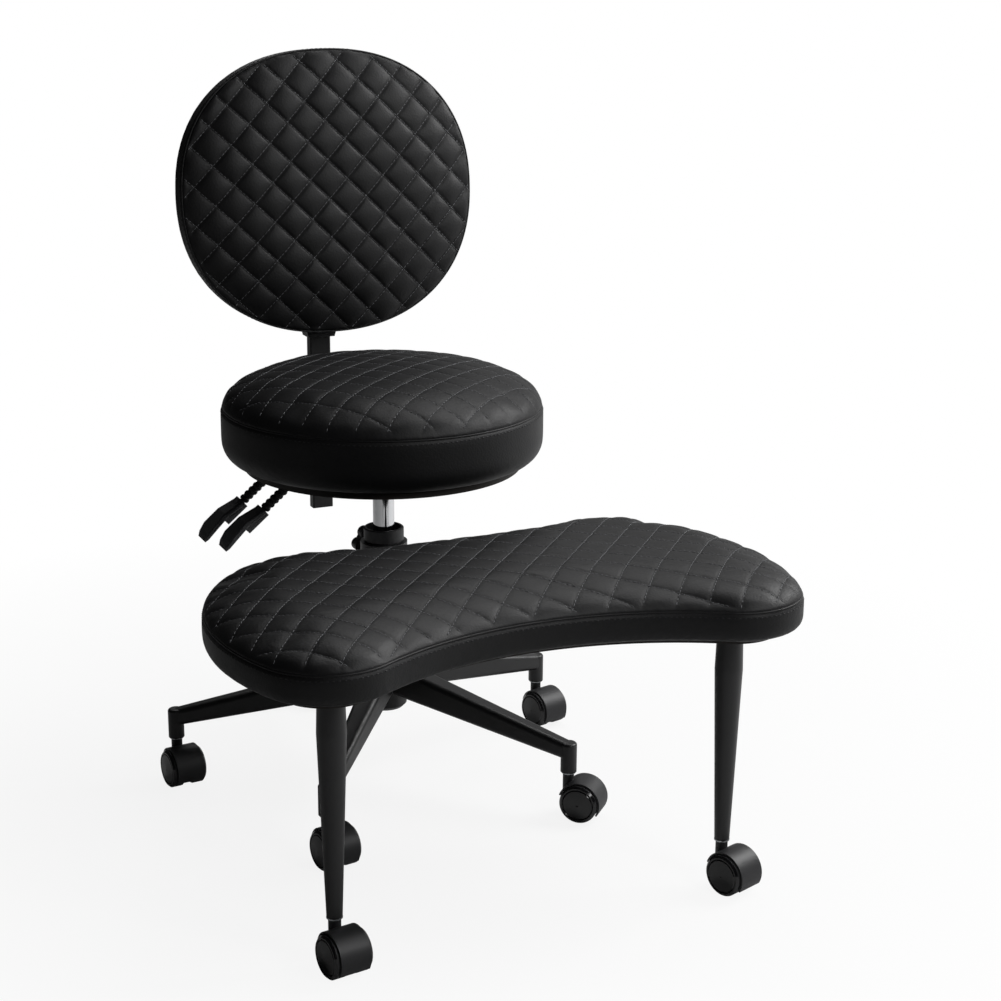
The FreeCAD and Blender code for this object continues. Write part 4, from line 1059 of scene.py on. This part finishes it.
SOFT_BOXES = (SoftBox("key", 1.95, -0.5, 1.8, (0, 0, 0.4), (1.2, 1.3), 60),
              SoftBox("top", 0.6, -0.6, 2.6, (0, 0, 0.4), (1.2, 1.2), 22),
              SoftBox("front", 1.5, 1.5, 1.5, (0, 0.2, 0.85), (0.6, 0.8), 19),
              SoftBox("rear", -0.3, -1.7, 2.1, (0, 0.2, 0.6), (0.9, 0.9), 8))


@dataclass
class Studio:
    """Plain pale floor, soft light from the right and above, and the photograph's camera."""

    azimuth: float = -24.52
    elevation: float = 15.71
    roll: float = -0.434
    eye: tuple = (-0.8901, -2.3219, 1.0816)
    lens: float = 70.563
    sensor: float = 36.0
    floor: float = 9.0
    floor_drop: float = 0.3 * MM
    paper: str = "#c4c4c4"
    # Bright side of the room: its share to the right and its share away from the camera
    bright: tuple = (0.75, 0.66)
    ambient: float = 0.025
    # Floor's own white as the camera sees it, by the chair and further out, and those two distances
    whites: tuple = (0.87, 1.0)
    clearing: tuple = (0.3, 1.2)

    def axes(self) -> tuple:
        """Right, up and back directions of the photograph's view, without its roll."""
        a, e = math.radians(self.azimuth), math.radians(self.elevation)
        right = np.array([math.cos(a), math.sin(a), 0.0])
        back = np.array([math.sin(a) * math.cos(e), -math.cos(a) * math.cos(e), math.sin(e)])
        return right, np.cross(back, right), back

    def bright_side(self) -> tuple:
        """Level direction in which shiny things see the white of the studio: right and behind."""
        right, _, back = self.axes()
        side = unit(self.bright[0] * right - self.bright[1] * unit(back * (1, 1, 0)))
        return tuple(side.tolist())

    def camera(self) -> None:
        """Stand the camera where the photograph was taken."""
        right, up, back = self.axes()
        c, s = math.cos(math.radians(self.roll)), math.sin(math.radians(self.roll))
        data = bpy.data.cameras.new("photo_camera")
        data.lens, data.sensor_width = self.lens, self.sensor
        made = bpy.data.objects.new("photo_camera", data)
        bpy.context.scene.collection.objects.link(made)
        turn = np.stack([c * right - s * up, s * right + c * up, back], -1)
        made.matrix_world = Matrix.Translation(self.eye) @ Matrix(turn.tolist()).to_4x4()
        bpy.context.scene.camera = made

    def lamp(self, box: SoftBox) -> None:
        """Hang one soft box and turn it to its aim.

        Args:
            box: The soft box.
        """
        right, _, back = self.axes()
        level = unit(back * (1, 1, 0))
        spot = Vector((box.right * right + box.front * level + (0, 0, box.up)).tolist())
        data = bpy.data.lights.new(box.name, "AREA")
        data.shape, data.energy = "RECTANGLE", box.watts
        data.size, data.size_y = box.size
        made = bpy.data.objects.new(box.name, data)
        bpy.context.scene.collection.objects.link(made)
        turn = (spot - Vector(box.aim)).to_track_quat("Z", "Y").to_matrix()
        made.matrix_world = Matrix.Translation(spot) @ turn.to_4x4()

    def gleam(self, tree: Tree, place: Socket, start: float, end: float,
              most: float = 1.0) -> Socket:
        """Share of white that shiny things see, which grows along the bright side.

        Args:
            tree: Node tree that takes the nodes.
            place: Place or direction that is seen.
            start: How far along the bright side the white begins.
            end: How far along it the white is full.
            most: Share of white from there on.

        Returns:
            The share for a reflected or passing ray, and 0 for any other.
        """
        path = add_node(tree, "LightPath").outputs
        along = add_node(tree, "VectorMath", {0: place, 1: self.bright_side()},
                         operation="DOT_PRODUCT")
        white = add_node(tree, "MapRange",
                         {"Value": along.outputs["Value"], "From Min": start, "From Max": end,
                          "To Max": most})
        shiny = add_node(tree, "Math", {0: path["Is Glossy Ray"], 1: path["Is Transmission Ray"]},
                         operation="MAXIMUM")
        return add_node(tree, "Math", {0: shiny.outputs[0], 1: white.outputs["Result"]},
                        operation="MULTIPLY").outputs[0]

    def backdrop(self) -> None:
        """White to the eye, and on the bright side to shiny things; dim for other light."""
        world = bpy.data.worlds.new("studio")
        bpy.context.scene.world = world
        world.use_nodes = True
        tree = world.node_tree
        tree.nodes.clear()
        path = add_node(tree, "LightPath").outputs
        gaze = add_node(tree, "TexCoord").outputs["Generated"]
        seen = self.gleam(tree, gaze, start=0.3, end=0.9, most=0.45)
        white = add_node(tree, "Math", {0: seen, 1: path["Is Camera Ray"]},
                         operation="MAXIMUM")
        strength = add_node(tree, "MapRange",
                            {"Value": white.outputs[0], "To Min": self.ambient, "To Max": 1.0})
        light = add_node(tree, "Background",
                         {"Color": (1, 1, 1, 1), "Strength": strength.outputs["Result"]})
        add_node(tree, "OutputWorld", {"Surface": light.outputs[0]})

    def ground(self) -> None:
        """Pale floor that keeps the chair's shadow and goes over to plain white further out."""
        half = self.floor / 2
        corners = np.array([(-half, -half, 0), (half, -half, 0), (half, half, 0), (-half, half, 0)])
        made = mesh_object("floor", corners - (0, 0, self.floor_drop), [[0, 1, 2, 3]])
        paper = bpy.data.materials.new("white_paper")
        paper.use_nodes = True
        tree = paper.node_tree
        tree.nodes.clear()
        path = add_node(tree, "LightPath").outputs
        place = add_node(tree, "TexCoord").outputs["Object"]
        far = add_node(tree, "VectorMath", {0: place}, operation="LENGTH")
        share = add_node(tree, "MapRange",
                         {"Value": far.outputs["Value"], "From Min": self.clearing[0],
                          "From Max": self.clearing[1], "To Min": self.whites[0],
                          "To Max": self.whites[1]})
        mixed = add_node(tree, "Math",
                         {0: path["Is Camera Ray"], 1: share.outputs["Result"],
                          2: self.gleam(tree, place, start=0.3, end=2.2)},
                         operation="MULTIPLY_ADD")
        sheet = add_node(tree, "BsdfDiffuse", {"Color": linear(self.paper)})
        glow = add_node(tree, "Emission", {"Color": (1, 1, 1, 1), "Strength": 1.0})
        both = add_node(tree, "MixShader", {0: mixed.outputs[0], 1: sheet.outputs[0],
                                                      2: glow.outputs[0]})
        add_node(tree, "OutputMaterial", {"Surface": both.outputs[0]})
        made.data.materials.append(paper)

    def build(self) -> None:
        """Set the stage: a key from the right, weaker light from above, the front and behind."""
        bpy.context.scene.view_settings.view_transform = "Standard"
        self.camera()
        for box in SOFT_BOXES:
            self.lamp(box)
        self.backdrop()
        self.ground()


def main() -> None:
    """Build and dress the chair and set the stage."""
    logging.basicConfig(level=logging.INFO, format="%(name)s %(message)s")
    Studio().build()
    for part in (Seat(), BackRest(), FootRest()):
        part.build()
        part.dress()
    Levers().dress()
    BaseAndColumn().dress()


if __name__ == "__main__":
    main()
